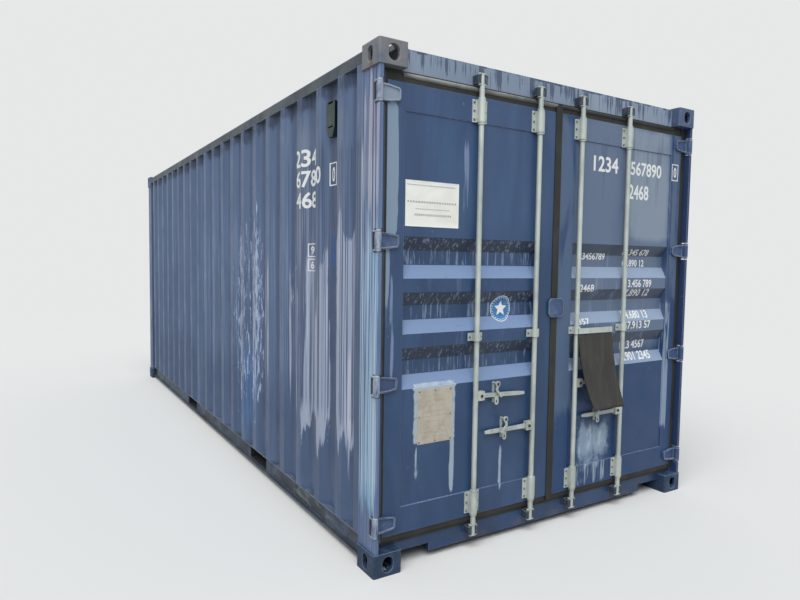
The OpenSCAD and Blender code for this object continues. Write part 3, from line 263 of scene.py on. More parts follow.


# Chalked marine paint of the long side: a dull grey blue where the sun has eaten the gloss, painted
# shade in the folds and soot with painted shade under the roof rail, crisp-edged lime runs near the
# door post, thin dark drips in them, and beyond them a band of pale speckles over brighter blue.
HALF_FOLD = 0.018
SHADED_RECESS = ((HALF_FOLD - WALL_X, -FAR, 0), (WALL_X - HALF_FOLD, FAR, 3), (0.03, 1, 1))
side_paint = skin_of("chalked_side_paint", "#475b7a", [
    ("#5f7394", HAZE, 3, 0.34, 0.20, 0.55, [on_side(0.10, 0, 6.2, 1.4, 2.6)]),
    ("#7f8a9b", (6, 6, 0.7), 4, 0.0, 0.12, 0.7, [on_side(0.30, 0.0, 1.2, 1.4, 2.5, (0.4, 0.4))]),
    ("#364866", (5, 5, 0.4), 4, 0.26, 0.12, 0.55, [on_side(0.2, 0.1, 6.2, 0.1, 0.7)]),
    # Painted shade: the recessed flats and slopes of the folds are darkened.
    ("#2b3c5c", HAZE, 2, -1.0, 0.30, 0.50, [(1.5, *SHADED_RECESS)]),
    ("#7c8fae", DRIPS, 5, 0.16, 0.08, 0.45, [on_side(0.12, 0.5, 3.4, 0.7, 1.9)]),
    ("#a2acc2", (8, 8, 1.0), 6, -0.02, 0.02, 0.85, [
        on_side(0.47, 0.58, 0.95, 0.45, 1.85, (0.10, 0.7)),
        on_side(0.47, 0.27, 0.46, 0.45, 1.95, (0.06, 0.6)),
        on_side(0.36, 0.98, 1.20, 0.5, 1.9, (0.08, 0.8)),
        on_side(0.34, 1.25, 1.40, 0.5, 1.7, (0.08, 0.8))]),
    ("#c2c6d4", THIN, 5, 0.00, 0.03, 0.75, [
        on_side(0.30, 0.55, 0.95, 0.50, 1.95, (0.10, 1.0)),
        on_side(0.30, 0.27, 0.46, 0.40, 2.0, (0.06, 0.8)),
        on_side(0.24, 0.95, 1.70, 0.40, 1.90, (0.2, 0.9))]),
    ("#3c4c6a", LINES, 3, -0.04, 0.03, 0.9, [on_side(0.37, 0.17, 1.2, 0.55, 2.3)]),
    ("#4874ab", (30, 30, 2), 5, 0.02, 0.12, 0.6, [on_side(0.33, 1.74, 2.20, 0.10, 1.0, (0.1, 0.5))]),
    ("#a9b8d2", (55, 55, 9), 6, -0.02, 0.05, 0.85, [
        on_side(0.29, 1.66, 2.34, 0.30, 2.0, (0.20, 0.8)),
        on_side(0.08, 1.74, 1.88, 0.30, 2.2, (0.06, 0.6)),
        on_side(0.08, 2.10, 2.24, 0.30, 2.2, (0.06, 0.6)),
        on_side(0.14, 2.3, 3.2, 0.5, 1.7, (0.4, 0.8)),
        on_side(0.12, 1.2, 1.7, 0.5, 1.8, (0.2, 0.8))]),
    ("#2f4f86", BLOT, 3, -0.2, 0.06, 0.85, [on_side(0.62, 0.505, 0.60, 1.50, 1.72, (0.02, 0.06))]),
    # Soot and painted shade along the top of the wall, under the roof rail.
    ("#22304a", (14, 14, 5), 4, 0.00, 0.12, 0.8, [on_side(0.42, 0, 6.2, 2.41, 2.6, (1, 0.10))]),
], (0.42, 0.62), waves=0.004, worn=("#7489ab", 0.006, 0.25))

# The same coat on the posts: lavender lime high up on the left one, light cyan lime lower down, dark
# drip lines, and painted near black shade in the gaps behind the hinges, where light doesn't reach.
ON_LEFT = ((-FAR, -FAR, -1), (-1.0, FAR, 3), (0.01, 1, 1))
GAP_DEEP, GAP_HALF = (0.020, 0.064), 0.044
post_paint = skin_of("limed_post_paint", "#263a60", [
    ("#48608a", HAZE, 3, -1.0, 0.10, 1.0, [(2.0, *ON_LEFT)]),
    ("#7b90b0", HAZE, 3, -1.0, 0.18, 0.5, [(1.34, *ON_LEFT)]),
    ("#a9a9bc", THIN, 5, 0.06, 0.03, 0.85, [on_side(0.30, 0, 0.2, 1.75, 2.46)]),
    ("#8ab2d2", THIN, 5, 0.06, 0.03, 0.9, [on_side(0.34, 0, 0.2, 0.25, 1.75)]),
    ("#c9d8e6", LINES, 4, 0.04, 0.03, 0.8, [on_side(0.28, 0, 0.2, 0.3, 2.2)]),
    ("#2f4268", (95, 95, 0.35), 3, 0.29, 0.03, 0.85, []),
], (0.4, 0.6), waves=0.002, worn=("#93a4bd", 0.004, 0.7), over=[
    # Painted shade: near black in the gaps behind the hinges.
    ("#0a0e14", BLOT, 2, -1.0, 0.10, 0.97, [
        (2.0, (-FAR, DOOR_END + GAP_DEEP[0], z - GAP_HALF), (FAR, DOOR_END + GAP_DEEP[1], z + GAP_HALF),
         (1, 0.003, 0.004))
        for z in HINGE_Z])])

# Door paint keeps more of its gloss. The left leaf is dark with a few pale runs and the lime halo
# round the data plate; chalk and painted light lie on the slopes that look up, painted shade on those
# that look down.
plate_lo, plate_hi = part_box("data_plate")
HALO_X = (plate_lo[0] - 0.036, plate_hi[0] + 0.032)
left_paint = skin_of("left_leaf_paint", "#213e62", [
    ("#415c82", HAZE, 3, 0.28, 0.22, 0.7, [on_end(0.26, -1.2, 0, 1.70, 2.5)]),
    ("#22375a", (4, 4, 0.6), 4, 0.28, 0.15, 0.5, []),
    # Chalk and painted light on the slopes that look up; painted shade on those that look down.
    ("#7a91b5", 1, (12, 12, 30), 0.9),
    ("#1f2d42", -1, (9, 9, 30), 0.9),
    ("#899eb3", (9, 9, 1.2), 4, -0.10, 0.04, 0.85, [
        on_end(0.70, -1.22, -1.075, 1.66, 2.34, (0.04, 0.10)),
        on_end(0.62, -1.22, -1.115, 1.25, 1.75, (0.04, 0.4))]),
    ("#7f93b2", (17, 17, 1.0), 5, 0.00, 0.03, 0.8, [
        on_end(0.36, -0.69, -0.63, 1.70, 2.28),
        on_end(0.36, -1.125, -1.09, 0.85, 1.60), on_end(0.32, -1.12, -1.09, 0.30, 0.75)]),
    ("#93a6c2", (60, 60, 5), 4, 0.02, 0.07, 0.6, [
        on_end(0.24, -1.05, -0.13, top - WAVE[1][0], top, (0.05, 0.01)) for top in WAVE_TOPS]),
    ("#7488a6", (13, 13, 2.0), 5, -0.02, 0.10, 0.5, [
        on_end(0.20, -1.05, -0.13, 0.90, 1.70), on_end(0.14, -0.50, -0.36, 1.75, 2.15)]),
    ("#b4c2c9", (14, 14, 14), 5, -0.6, 0.16, 0.85, [
        on_front(1.10, *HALO_X, plate_lo[2] - 0.004, plate_hi[2] + 0.030, (0.035, 0.035)),
        on_end(1.00, *HALO_X, 0.908, 0.940, (0.035, 0.02))]),
    ("#a6b8c8", (26, 26, 2.6), 5, 0.00, 0.06, 0.85, [
        on_front(0.50, plate_hi[0] - 0.012, plate_hi[0] + 0.022, 0.33, 0.66),
        on_front(0.42, plate_lo[0] - 0.022, plate_lo[0] + 0.012, 0.42, 0.62),
        on_front(0.30, -0.86, -0.80, 0.40, 0.62, (0.03, 0.3)),
        on_front(0.50, -0.402, -0.374, 0.28, 0.56)]),
], (0.34, 0.5), waves=0.005, worn=("#7c8da8", 0.004, 0.6))

# The right leaf: bleached above, clean deep blue below, with a lime patch under its handles.
right_paint = skin_of("right_leaf_paint", "#163a65", [
    ("#61728c", HAZE, 4, -0.30, 0.22, 0.9, [on_end(0.86, 0.13, 1.06, 0.98, 2.50, (0.06, 0.25))]),
    ("#5b6f8a", (6, 6, 1.2), 4, -0.10, 0.10, 0.6, [
        on_end(0.56, -0.1, 0.2, 0.6, 2.5), on_end(0.50, 1.06, 1.2, 1.2, 2.5)]),
    ("#8695a6", (4, 4, 1.2), 4, -0.30, 0.16, 0.8, [on_end(0.74, 0.60, 1.08, 1.68, 2.45, (0.15, 0.12))]),
    ("#41546f", (20, 20, 0.7), 5, 0.10, 0.09, 0.65, [on_end(0.16, 0.13, 1.1, 2.05, 2.42)]),
    # Chalk and painted light on the slopes that look up; painted shade on those that look down.
    ("#91a3bb", 1, (12, 12, 30), 0.8),
    ("#303e52", -1, (9, 9, 30), 0.8),
    ("#8a9bb5", (18, 18, 1.1), 5, -0.02, 0.10, 0.6, [on_end(0.26, 0.13, 1.06, 0.92, 1.75)]),
    ("#92a9c0", (10, 10, 7), 5, -0.06, 0.14, 0.8, [
        on_front(0.56, 0.20, 0.52, 0.32, 0.60, (0.12, 0.16)),
        on_end(0.20, 0.20, 0.50, 0.17, 0.34, (0.05, 0.10))]),
    ("#94a6bd", (30, 30, 1.2), 5, -0.06, 0.05, 0.75, [
        on_end(0.44, 1.030, 1.100, 0.42, 1.35, (0.03, 0.12))]),
    ("#b9c8d2", (24, 24, 9), 5, -0.02, 0.10, 0.7, [
        on_front(0.30, 0.22, 0.52, 0.36, 0.60, (0.06, 0.15))]),
    ("#a9bccd", (60, 60, 3.0), 4, -0.02, 0.06, 0.7, [
        on_end(0.30, 0.20, 0.50, 0.17, 0.34, (0.05, 0.05))]),
], (0.34, 0.52), waves=0.005, worn=("#7c8da8", 0.004, 0.6))

# Header: bleached, with dark drips hanging from its upper edge.
header_paint = skin_of("bleached_header_paint", "#7c8ca0", [
    ("#98a6b8", HAZE, 3, 0.28, 0.2, 0.5, []),
    ("#44577a", (8, 8, 6), 4, -0.2, 0.12, 0.7, [on_end(0.42, -1.1, 1.1, 2.40, 2.47, (0.1, 0.05))]),
    ("#36435c", (16, 16, 6), 5, -0.1, 0.05, 0.85, [on_end(0.44, -1.1, 1.1, 2.565, 2.60, (0.1, 0.02))]),
    ("#3c4a66", (44, 44, 1.6), 5, 0.20, 0.03, 0.85, [on_end(0.12, -1.1, 1.1, 2.50, 2.60, (0.1, 0.08))]),
    ("#35435f", (90, 90, 1.2), 3, 0.18, 0.03, 0.8, []),
], (0.4, 0.6), waves=0.002, worn=("#a4afc0", 0.004, 0.5))

# Sill: dark blue that feet and straps have knocked grey in places, with mud along its lower edge.
sill_paint = skin_of("sill_paint", "#203757", [
    ("#35507a", HAZE, 3, 0.30, 0.2, 0.6, []),
    ("#182740", (6, 6, 3), 4, 0.24, 0.1, 0.6, []),
    ("#8391a6", BLOT, 6, -0.02, 0.03, 0.6, []),
    ("#5f574a", (5, 5, 9), 5, -0.04, 0.10, 0.6, [on_end(0.26, -1.3, 1.3, 0.0, 0.09, (0.1, 0.05))]),
], (0.34, 0.55), waves=0.003, worn=("#8a9ab0", 0.004, 0.7))

# Hinges and overlap plate: the same blue, worn to grey along the edges; the barrels on the left get a
# painted highlight, and the top left blade is the palest.
trim_paint = skin_of("worn_blue_paint", "#33496e", [
    ("#667a9a", BLOT, 4, 0.24, 0.16, 0.6, []),
    ("#93a1b3", (14, 14, 14), 4, -0.4, 0.14, 0.85, [
        on_end(0.92, -1.2, -1.0, 2.27, 2.45, (0.02, 0.02))]),
    # Painted highlight on the hinge barrels of the left post.
    ("#a7b3c2", (20, 20, 7), 4, -0.3, 0.12, 0.8, [on_end(0.66, -1.3, -1.187, 0, 3, (0.006, 0.1))]),
    ("#7a4a30", (14, 14, 14), 5, 0.00, 0.04, 0.8, []),
], (0.4, 0.6), edge=0.003, worn=("#b1bcc9", 0.005, 0.9))


def fitting_skin(name, base, light, dark, dust, edge_tint, grime=()):
    """Paint of a cast corner fitting: knocked and greyed by twist locks, with a little rust."""
    return skin_of(name, base, [
        (light, BLOT, 5, 0.26, 0.10, 0.7, []),
        (dark, (5, 5, 3), 5, 0.22, 0.10, 0.6, []),
        (dust, (16, 16, 16), 5, 0.06, 0.05, 0.7, []),
        *grime,
        ("#6a4c38", (22, 22, 22), 5, 0.00, 0.07, 0.7, [
            (0.42, (-FAR, DOOR_END + 0.05, 2.40), (-1, DOOR_END + 0.3, 2.50), (0.1, 0.05, 0.06))])],
        (0.5, 0.75), edge=0.006, grit=0.0004, worn=(edge_tint, 0.007, 0.7))


# The upper fittings are bleached, the left one under grey grime; the lower ones keep a dark blue.
upper_fitting = fitting_skin(
    "grimy_upper_fitting", "#475877", "#6a7d9c", "#34435f", "#76849a", "#9aa0a6",
    [("#7d7d7a", BLOT, 4, -1.0, 0.20, 0.80, [(1.5, (-FAR, -FAR, 2.4), (-1, 0, 3), (0.1, 0.1, 0.01))])])
lower_fitting = fitting_skin(
    "worn_lower_fitting", "#1b3049", "#385272", "#142236", "#50667f", "#8298b2")


def between(amount, z0, z1, y1=FAR):
    """A patch all round between two heights, up to a place along the container."""
    return (amount, (-FAR, -FAR, z0), (FAR, y1, z1), (1, 1, 0.05))


# Roof rails carry moss-grey dirt; the lower rails are splashed with mud near the doors.
rail_paint = skin_of("dirty_rail_paint", "#39424e", [
    ("#50585a", (6, 6, 12), 5, 0.28, 0.14, 0.7, [between(0.1, 2.4, 2.7)]),
    ("#a5a88a", (34, 34, 34), 5, -0.02, 0.05, 0.7, [between(0.14, 2.4, 2.7, 0)]),
    ("#2b2d33", (3, 3, 8), 4, 0.10, 0.12, 0.7, [between(0.22, -1, 0.2)]),
    ("#54463a", (7, 7, 14), 5, -0.10, 0.10, 0.7, [between(0.30, -1, 0.1)]),
    ("#5b6a82", (5, 5, 10), 4, -0.3, 0.14, 0.8, [between(0.62, 0.02, 0.2)]),
    ("#8e948c", (12, 8, 20), 6, -0.06, 0.10, 0.75, [on_side(0.34, 0.35, 1.3, 0.04, 0.15, (0.5, 0.03))]),
], (0.5, 0.75), waves=0.002, worn=("#8fa0b8", 0.004, 0.8))

# Bitumen underseal: almost black, matt and gritty, browned by road dirt.
underside = skin_of("underseal", "#24282c", [
    ("#4a3c30", (5, 5, 5), 5, 0.24, 0.12, 0.7, []),
    ("#12151a", (20, 20, 20), 4, 0.25, 0.1, 0.6, [])], (0.7, 0.9), grit=0.0006)

# Forged cam keepers: dark paint that the cams have rubbed to pale metal and rust.
keeper_paint = skin_of("keeper_paint", "#2b3645", [
    ("#5d6978", (22, 22, 22), 4, 0.24, 0.10, 0.7, []),
    ("#6a4630", (30, 30, 30), 5, 0.14, 0.05, 0.8, []),
    ("#a3a59c", (46, 46, 46), 5, 0.10, 0.04, 0.8, [])],
    (0.45, 0.7), edge=0.003, worn=("#a9aaa2", 0.004, 0.8))

# Hot-dip zinc that has gone dull: beige grey, blotched, a little rust in the crannies.
zinc = skin_of("dull_zinc", "#b9c1bb", [
    ("#969f9c", (12, 12, 5), 5, 0.32, 0.12, 0.6, []),
    ("#d2d8d2", (7, 7, 2), 4, 0.28, 0.14, 0.6, []),
    ("#6e5a45", (26, 26, 14), 6, 0.05, 0.05, 0.75, []),
    ("#777d79", (90, 90, 30), 4, 0.10, 0.06, 0.5, [])], (0.45, 0.65), metal=0.35, edge=0.0015)

# Bare steel pins have gone to matt brown rust; the latch bolts keep a dark oily skin; the zinc plated
# bolt heads are dull grey with dark edges and rust stains.
rust = skin_of("rusty_pin", "#3d2a20", [
    ("#5f3d2a", (60, 60, 60), 5, 0.32, 0.1, 0.8, [])], (0.7, 0.9), metal=0.2)
dark_bolt = skin_of("dark_bolt", "#3a3835", [
    ("#6e5a48", (90, 90, 90), 4, 0.24, 0.12, 0.7, [])], (0.5, 0.75), metal=0.3, edge=0.0008)
bolt_zinc = skin_of("bolt_zinc", "#7d817b", [
    ("#3b3a36", (90, 90, 90), 4, 0.30, 0.12, 0.8, []),
    ("#6e4a30", (50, 50, 50), 4, 0.12, 0.08, 0.7, [])], (0.45, 0.7), metal=0.5, edge=0.001)

# Seal rubber: near black with an olive bloom and road dust in its folds.
seal_rubber = skin_of("seal_rubber", "#1a1b19", [
    ("#302f29", (10, 10, 3), 5, 0.30, 0.12, 0.7, []),
    ("#5d5746", (30, 30, 8), 5, 0.06, 0.08, 0.6, []),
    ("#3d4b62", (30, 30, 5), 4, -0.3, 0.10, 0.9, [on_end(0.90, -1.3, -1.157, 0.1, 2.6, (0.005, 0.1))]),
    ("#6b3f2c", (18, 18, 9), 5, -0.3, 0.06, 0.8, [on_end(0.46, -1.3, -1.157, 0.6, 1.1, (0.005, 0.3))])],
    (0.55, 0.8), edge=0.003)
# Grey rubber of the left seal's rib, paled by dust and by a painted highlight along its lip.
seal_edge_dust_and_highlight = skin_of("seal_rib_dust_and_highlight", "#686a68", [
    ("#8f918c", (8, 8, 20), 5, 0.34, 0.12, 0.7, []),
    ("#2e2d28", (14, 14, 14), 5, 0.10, 0.06, 0.9, [])], (0.6, 0.85), edge=0.002)

# Flap rubber: dark brown grey with lighter scuff lines that run down it.
flap_rubber = skin_of("flap_rubber", "#272725", [
    ("#3b3934", (22, 22, 0.9), 5, 0.30, 0.12, 0.7, []),
    ("#5c5a52", (70, 70, 2.0), 4, 0.08, 0.08, 0.6, []),
    ("#1f1e1d", (6, 6, 5), 4, 0.16, 0.12, 0.6, [])], (0.5, 0.75), waves=0.004, edge=0.001)

# Sealed plywood of the floor: warm brown with long grain and dark scuffs.
plywood = skin_of("sealed_plywood", "#7d5a3a", [
    ("#5b3f28", (30, 2.0, 30), 5, 0.30, 0.12, 0.6, []),
    ("#98744e", (60, 3.0, 60), 4, 0.24, 0.1, 0.5, []),
    ("#3d3226", BLOT, 5, 0.06, 0.1, 0.6, [])], (0.45, 0.7))

# Moulded plastic of the ventilators: dark green, half matt, greyed by weather.
vent_plastic = skin_of("green_vent_plastic", "#132b27", [
    ("#2c4a43", (14, 14, 4), 4, 0.24, 0.12, 0.7, []),
    ("#93a29c", (40, 40, 8), 4, 0.02, 0.06, 0.6, [])], (0.4, 0.6))

# Data plate: dusty dull aluminium with worn rows of fine stamping.
plate_metal = skin_of("dusty_data_plate", "#bfb8aa", [
    ("#a9a192", (16, 16, 10), 5, 0.32, 0.1, 0.6, []),
    ("#8d8476", (26, 26, 210), 3, 0.20, 0.08, 0.5, []),
    ("#d8d1c3", (34, 34, 34), 4, 0.10, 0.08, 0.5, [])], (0.5, 0.7), metal=0.25, edge=0.0005)
# Printed film of the sign, its faded print, and the marking paint: off white, a little dirty, with
# blue showing through where the paint has flaked.
sign_film = skin_of("white_sign_film", "#f2f4ee", [
    ("#dddcd0", (5, 5, 8), 4, 0.28, 0.14, 0.5, []),
    ("#8f8d80", (60, 60, 60), 5, 0.00, 0.04, 0.6, [])], (0.35, 0.5), edge=0.0005)
sign_ink = skin_of("faded_sign_ink", "#9b9c9d", [
    ("#d2d1cb", (120, 120, 60), 4, 0.30, 0.10, 0.8, [])], (0.4, 0.6), edge=0.0003)
white_paint = skin_of("white_marking_paint", "#e3e6e6", [
    ("#9fabbe", (36, 36, 10), 5, 0.16, 0.08, 0.7, []),
    ("#5d7196", (80, 80, 40), 5, 0.07, 0.04, 0.8, [])], (0.4, 0.6), edge=0.0003)
# Printed film of the label: mid blue with sun-bleached clouds.
label_blue = skin_of("label_blue", "#3a7ab4", [
    ("#6c9cc6", (30, 30, 30), 4, 0.24, 0.1, 0.6, [])], (0.35, 0.5), edge=0.0003)
# Weld bead under paint: a rough raised line that has rubbed paler than the panel.
weld = skin_of("painted_weld", "#40577c", [
    ("#8292ae", (60, 60, 20), 5, 0.26, 0.12, 0.7, [])], (0.45, 0.65), edge=0.001, grit=0.0006)

# CAD nodes by material; the nodes that are not listed are zinc, apart from the flap.
SKINS = {
    side_paint: ["side_wall_left", "side_wall_right", "blind_end_wall", "roof_panel",
                 "roof_corner_plates", "blind_end_posts", "blind_end_beams"],
    post_paint: ["door_post_left", "door_post_right", "door_post_edges"],
    rail_paint: ["roof_rails", "lower_side_rails"],
    left_paint: ["left_leaf_frame", "left_leaf_panel"],
    right_paint: ["right_leaf_frame", "right_leaf_panel"],
    header_paint: ["door_header"],
    sill_paint: ["door_sill"],
    trim_paint: ["left_leaf_hinges", "right_leaf_hinges", "hinge_lugs", "overlap_plate"],
    lower_fitting: ["corner_fittings_bottom"],
    upper_fitting: ["corner_fittings_top"],
    underside: ["cross_members", "forklift_pockets", "floor_centre_bar"],
    keeper_paint: ["cam_keepers"],
    seal_rubber: ["left_leaf_seal", "right_leaf_seal"],
    plywood: ["floor_boards"],
    vent_plastic: ["ventilators"],
    plate_metal: ["data_plate"],
    sign_film: ["sign_plate"],
}
shown = dict(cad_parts)
for mat, names in SKINS.items():
    for name in names:
        shown.pop(name).data.materials[0] = mat
for name, node in shown.items():
    node.data.materials[0] = flap_rubber if name == "rubber_flap" else zinc


# Small pieces

def keep(bm, name, mat, body, smooth=False):
    """Turns a bmesh into a piece that rides on a body."""
    bmesh.ops.recalc_face_normals(bm, faces=bm.faces)
    mesh = bpy.data.meshes.new(name)
    for face in bm.faces:
        face.smooth = smooth
    bm.to_mesh(mesh)
    bm.free()
    mesh.materials.append(mat)
    piece = bpy.data.objects.new(name, mesh)
    bpy.context.collection.objects.link(piece)
    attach(piece, body)
    return piece


def knob(bm, at, toward, radius, height, sides=10, top=0.8):
    """A bolt or rivet head that stands on the point at."""
    toward = Vector(toward)
    turn = Vector((0, 0, 1)).rotation_difference(toward).to_matrix().to_4x4()
    middle = Vector(at) + toward * (height / 2)
    bmesh.ops.create_cone(bm, cap_ends=True, segments=sides, radius1=radius, radius2=radius * top,
                          depth=height, matrix=Matrix.Translation(middle) @ turn)


def bar(bm, lo, hi, soft=0.0):
    """A block from lo to hi, with its edges bevelled by soft."""
    size = [b - a for a, b in zip(lo, hi)]
    mid = [(a + b) / 2 for a, b in zip(lo, hi)]
    made = bmesh.ops.create_cube(bm, size=1.0,
                                 matrix=Matrix.Translation(mid) @ Matrix.Diagonal((*size, 1)))
    if soft:
        edges = {e for v in made["verts"] for e in v.link_edges}
        bmesh.ops.bevel(bm, geom=list(edges), affect="EDGES", offset=soft, segments=2, profile=0.5,
                        material=-1)


def bead(bm, a, b, radius, sides=8):
    """A round bead from a to b."""
    a, b = Vector(a), Vector(b)
    turn = Vector((0, 0, 1)).rotation_difference((b - a).normalized()).to_matrix().to_4x4()
    bmesh.ops.create_cone(bm, cap_ends=True, segments=sides, radius1=radius, radius2=radius,
                          depth=(b - a).length, matrix=Matrix.Translation((a + b) / 2) @ turn)


# Direction out of the door end.
OUT = (0, -1, 0)
# Handles: height, side of the rod they point to, and distance of the pivot from the rod.
HANDLE_Z = (0.837, 0.630, 0.837, 0.630)
HANDLE_SIDE = (1, -1, 1, -1)
PIVOT_OUT = 0.034
# Catches: distance from the rod and height; and how far above them the latches' bolts stand.
CATCH = ((0.140, 0.8324), (0.218, 0.630), (0.140, 0.837), (0.218, 0.630))
LATCH_UP = 0.062
# Rod guides: height of each base plate, its bolts from there, their distance from the rod and depth.
GUIDES = ((0.257, (-0.044, 0, 0.044)), (2.339, (-0.044, 0, 0.044)), (1.157, (0,)))
GUIDE_BOLT_OUT, GUIDE_FACE = 0.036, 0.037
# Where the sunk panel of a leaf ends across and in height, how deep the weld beads sit in it, and
# where the seal's rib lies.
PANEL_X, PANEL_Z, WELD_IN = (0.136, 1.044), (0.315, 2.283), 0.0008
RIB_X, RIB_DEEP, RIB_Z = (0.020, 1.057), 0.049, 2.452

for side, door in enumerate(DOORS):
    # Bolt heads on the base plates of the rod guides.
    heads = bmesh.new()
    for i in (2 * side, 2 * side + 1):
        for z, rises in GUIDES:
            for s in (-1, 1):
                for rise in rises:
                    at = (ROD_X[i] + s * GUIDE_BOLT_OUT, DOOR_END + GUIDE_FACE, z + rise)
                    knob(heads, at, OUT, radius=0.0065, height=0.005)
    keep(heads, door + "_guide_bolts", bolt_zinc, door)

    # Weld beads where the panel meets the upper and the lower tube of the leaf.
    s = 1 if side else -1
    seams = bmesh.new()
    for z in PANEL_Z:
        bead(seams, *[(s * x, PANEL_Y + WELD_IN, z) for x in PANEL_X], radius=0.0035)
    keep(seams, door + "_panel_welds", weld, door, smooth=True)

    # Rounded rib of the rubber seal above the leaf, on the left leaf paled by dust and a painted
    # highlight.
    rib = bmesh.new()
    bead(rib, *[(s * x, DOOR_END + RIB_DEEP, RIB_Z) for x in RIB_X], radius=0.012, sides=12)
    keep(rib, door + "_seal_rib", seal_edge_dust_and_highlight if s < 0 else seal_rubber, door, smooth=True)

# Heads of the handles' pivot pins and of the bolts that hold the latches, and the depths they stand on.
PIN_FACE, LATCH_FACE = 0.008, 0.0003
for i in range(4):
    pin = bmesh.new()
    at = (ROD_X[i] + HANDLE_SIDE[i] * PIVOT_OUT, DOOR_END + PIN_FACE, HANDLE_Z[i])
    knob(pin, at, OUT, radius=0.009, height=0.004, sides=12)
    keep(pin, "handle_%d_pin_head" % (i + 1), rust, "handle_%d" % (i + 1))
    out, z = CATCH[i]
    bolt = bmesh.new()
    at = (ROD_X[i] + HANDLE_SIDE[i] * out, DOOR_END + LATCH_FACE, z + LATCH_UP)
    knob(bolt, at, OUT, radius=0.0085, height=0.0016, sides=12)
    keep(bolt, "latch_%d_bolt_head" % (i + 1), dark_bolt, DOORS[i // 2])

# How far thin print stands out of its plate, and reaches into it.
PROUD, SUNK = 0.0006, 0.0002
# Rivets and rows of stamping on the data plate: the rivets' distance from its edges, the rows' number,
# distance of the first from the top, pitch and half height. Each row is a caption and its value.
RIVET_IN = 0.010
STAMP_ROWS, STAMP_FIRST, STAMP_PITCH, STAMP_HALF = 9, 0.030, 0.027, 0.003
CAPTION, VALUE_FROM, VALUE_TO, VALUE_STEP = (0.022, 0.085), 0.095, 0.150, 0.011

lo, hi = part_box("data_plate")
rivets, stamping = bmesh.new(), bmesh.new()
xs, zs = [(lo[k] + RIVET_IN, (lo[k] + hi[k]) / 2, hi[k] - RIVET_IN) for k in (0, 2)]
for i, x in enumerate(xs):
    for j, z in enumerate(zs):
        if (i, j) != (1, 1):
            knob(rivets, (x, lo[1], z), OUT, radius=0.005, height=0.002, sides=12, top=0.5)
for k in range(STAMP_ROWS):
    z = hi[2] - STAMP_FIRST - STAMP_PITCH * k
    for a, b in (CAPTION, (VALUE_FROM, VALUE_TO + VALUE_STEP * (k % 5))):
        bar(stamping, (lo[0] + a, lo[1] - PROUD, z - STAMP_HALF),
            (lo[0] + b, lo[1] + SUNK, z + STAMP_HALF))
keep(rivets, "data_plate_rivets", bolt_zinc, "left_door")
keep(stamping, "data_plate_stamping", plate_metal, "left_door")

# Border and faint lines of the blank sign. Each line: height, start, end, and its dashes' height and
# pitch; a dash fills DASH_SHARE of its pitch.
SIGN_LINES = ((0.202, 0.010, 0.300, 0.006, 0.011), (0.118, 0.012, 0.305, 0.009, 0.016),
              (0.086, 0.060, 0.270, 0.004, 0.006), (0.054, 0.055, 0.280, 0.010, 0.012))
DASH_SHARE = 0.6
RIM_WIDE, RIM_PROUD = 0.004, 0.0008

lo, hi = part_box("sign_plate")
lines, rim = bmesh.new(), bmesh.new()
for z0, z1 in ((lo[2], lo[2] + RIM_WIDE), (hi[2] - RIM_WIDE, hi[2])):
    bar(rim, (lo[0], lo[1] - RIM_PROUD, z0), (hi[0], lo[1] + SUNK, z1))
for x0, x1 in ((lo[0], lo[0] + RIM_WIDE), (hi[0] - RIM_WIDE, hi[0])):
    bar(rim, (x0, lo[1] - RIM_PROUD, lo[2] + RIM_WIDE), (x1, lo[1] + SUNK, hi[2] - RIM_WIDE))
for z, a, b, tall, dash in SIGN_LINES:
    x = a
    while x < b:
        bar(lines, (lo[0] + x, lo[1] - PROUD, lo[2] + z),
            (lo[0] + x + dash * DASH_SHARE, lo[1] + SUNK, lo[2] + z + tall))
        x += dash
keep(rim, "sign_border", sign_film, "left_door")
keep(lines, "sign_lines", sign_ink, "left_door")


# Numbers and label painted over the folds

# How far a painted film's back stands off the sheet, and its thickness.
FILM_GAP, FILM_THICK = 0.0003, 0.0005


def fold(line, u):
    """Depth of a folded sheet at the place u, from its list of (place, depth) corners."""
    for (a, da), (b, db) in zip(line, line[1:]):
        if a <= u <= b:
            return da + (db - da) * (u - a) / (b - a)
    return 0.0


def lay_on(bm, line, axis, face, outward, film):
    """Folds a flat mesh onto a corrugated sheet and gives it the thickness of a coat of paint.

    line lists the folds' corners; axis is the direction that crosses them; face is the place of
    the outer faces; outward is the axis that points away from the sheet, as (index, sign); film
    is how far the mesh stands off the sheet."""
    across = [0, 0, 0]
    across[axis] = 1
    for u, _ in line:
        point = [0, 0, 0]
        point[axis] = u
        bmesh.ops.bisect_plane(bm, geom=list(bm.verts) + list(bm.edges) + list(bm.faces), dist=1e-6,
                               plane_co=point, plane_no=across)
    index, sign = outward
    for v in bm.verts:
        v.co[index] = face - sign * fold(line, v.co[axis]) + sign * film
    grown = bmesh.ops.extrude_face_region(bm, geom=list(bm.faces))
    shift = [0, 0, 0]
    shift[index] = sign * FILM_THICK
    outer = [v for v in grown["geom"] if isinstance(v, bmesh.types.BMVert)]
    bmesh.ops.translate(bm, verts=outer, vec=shift)


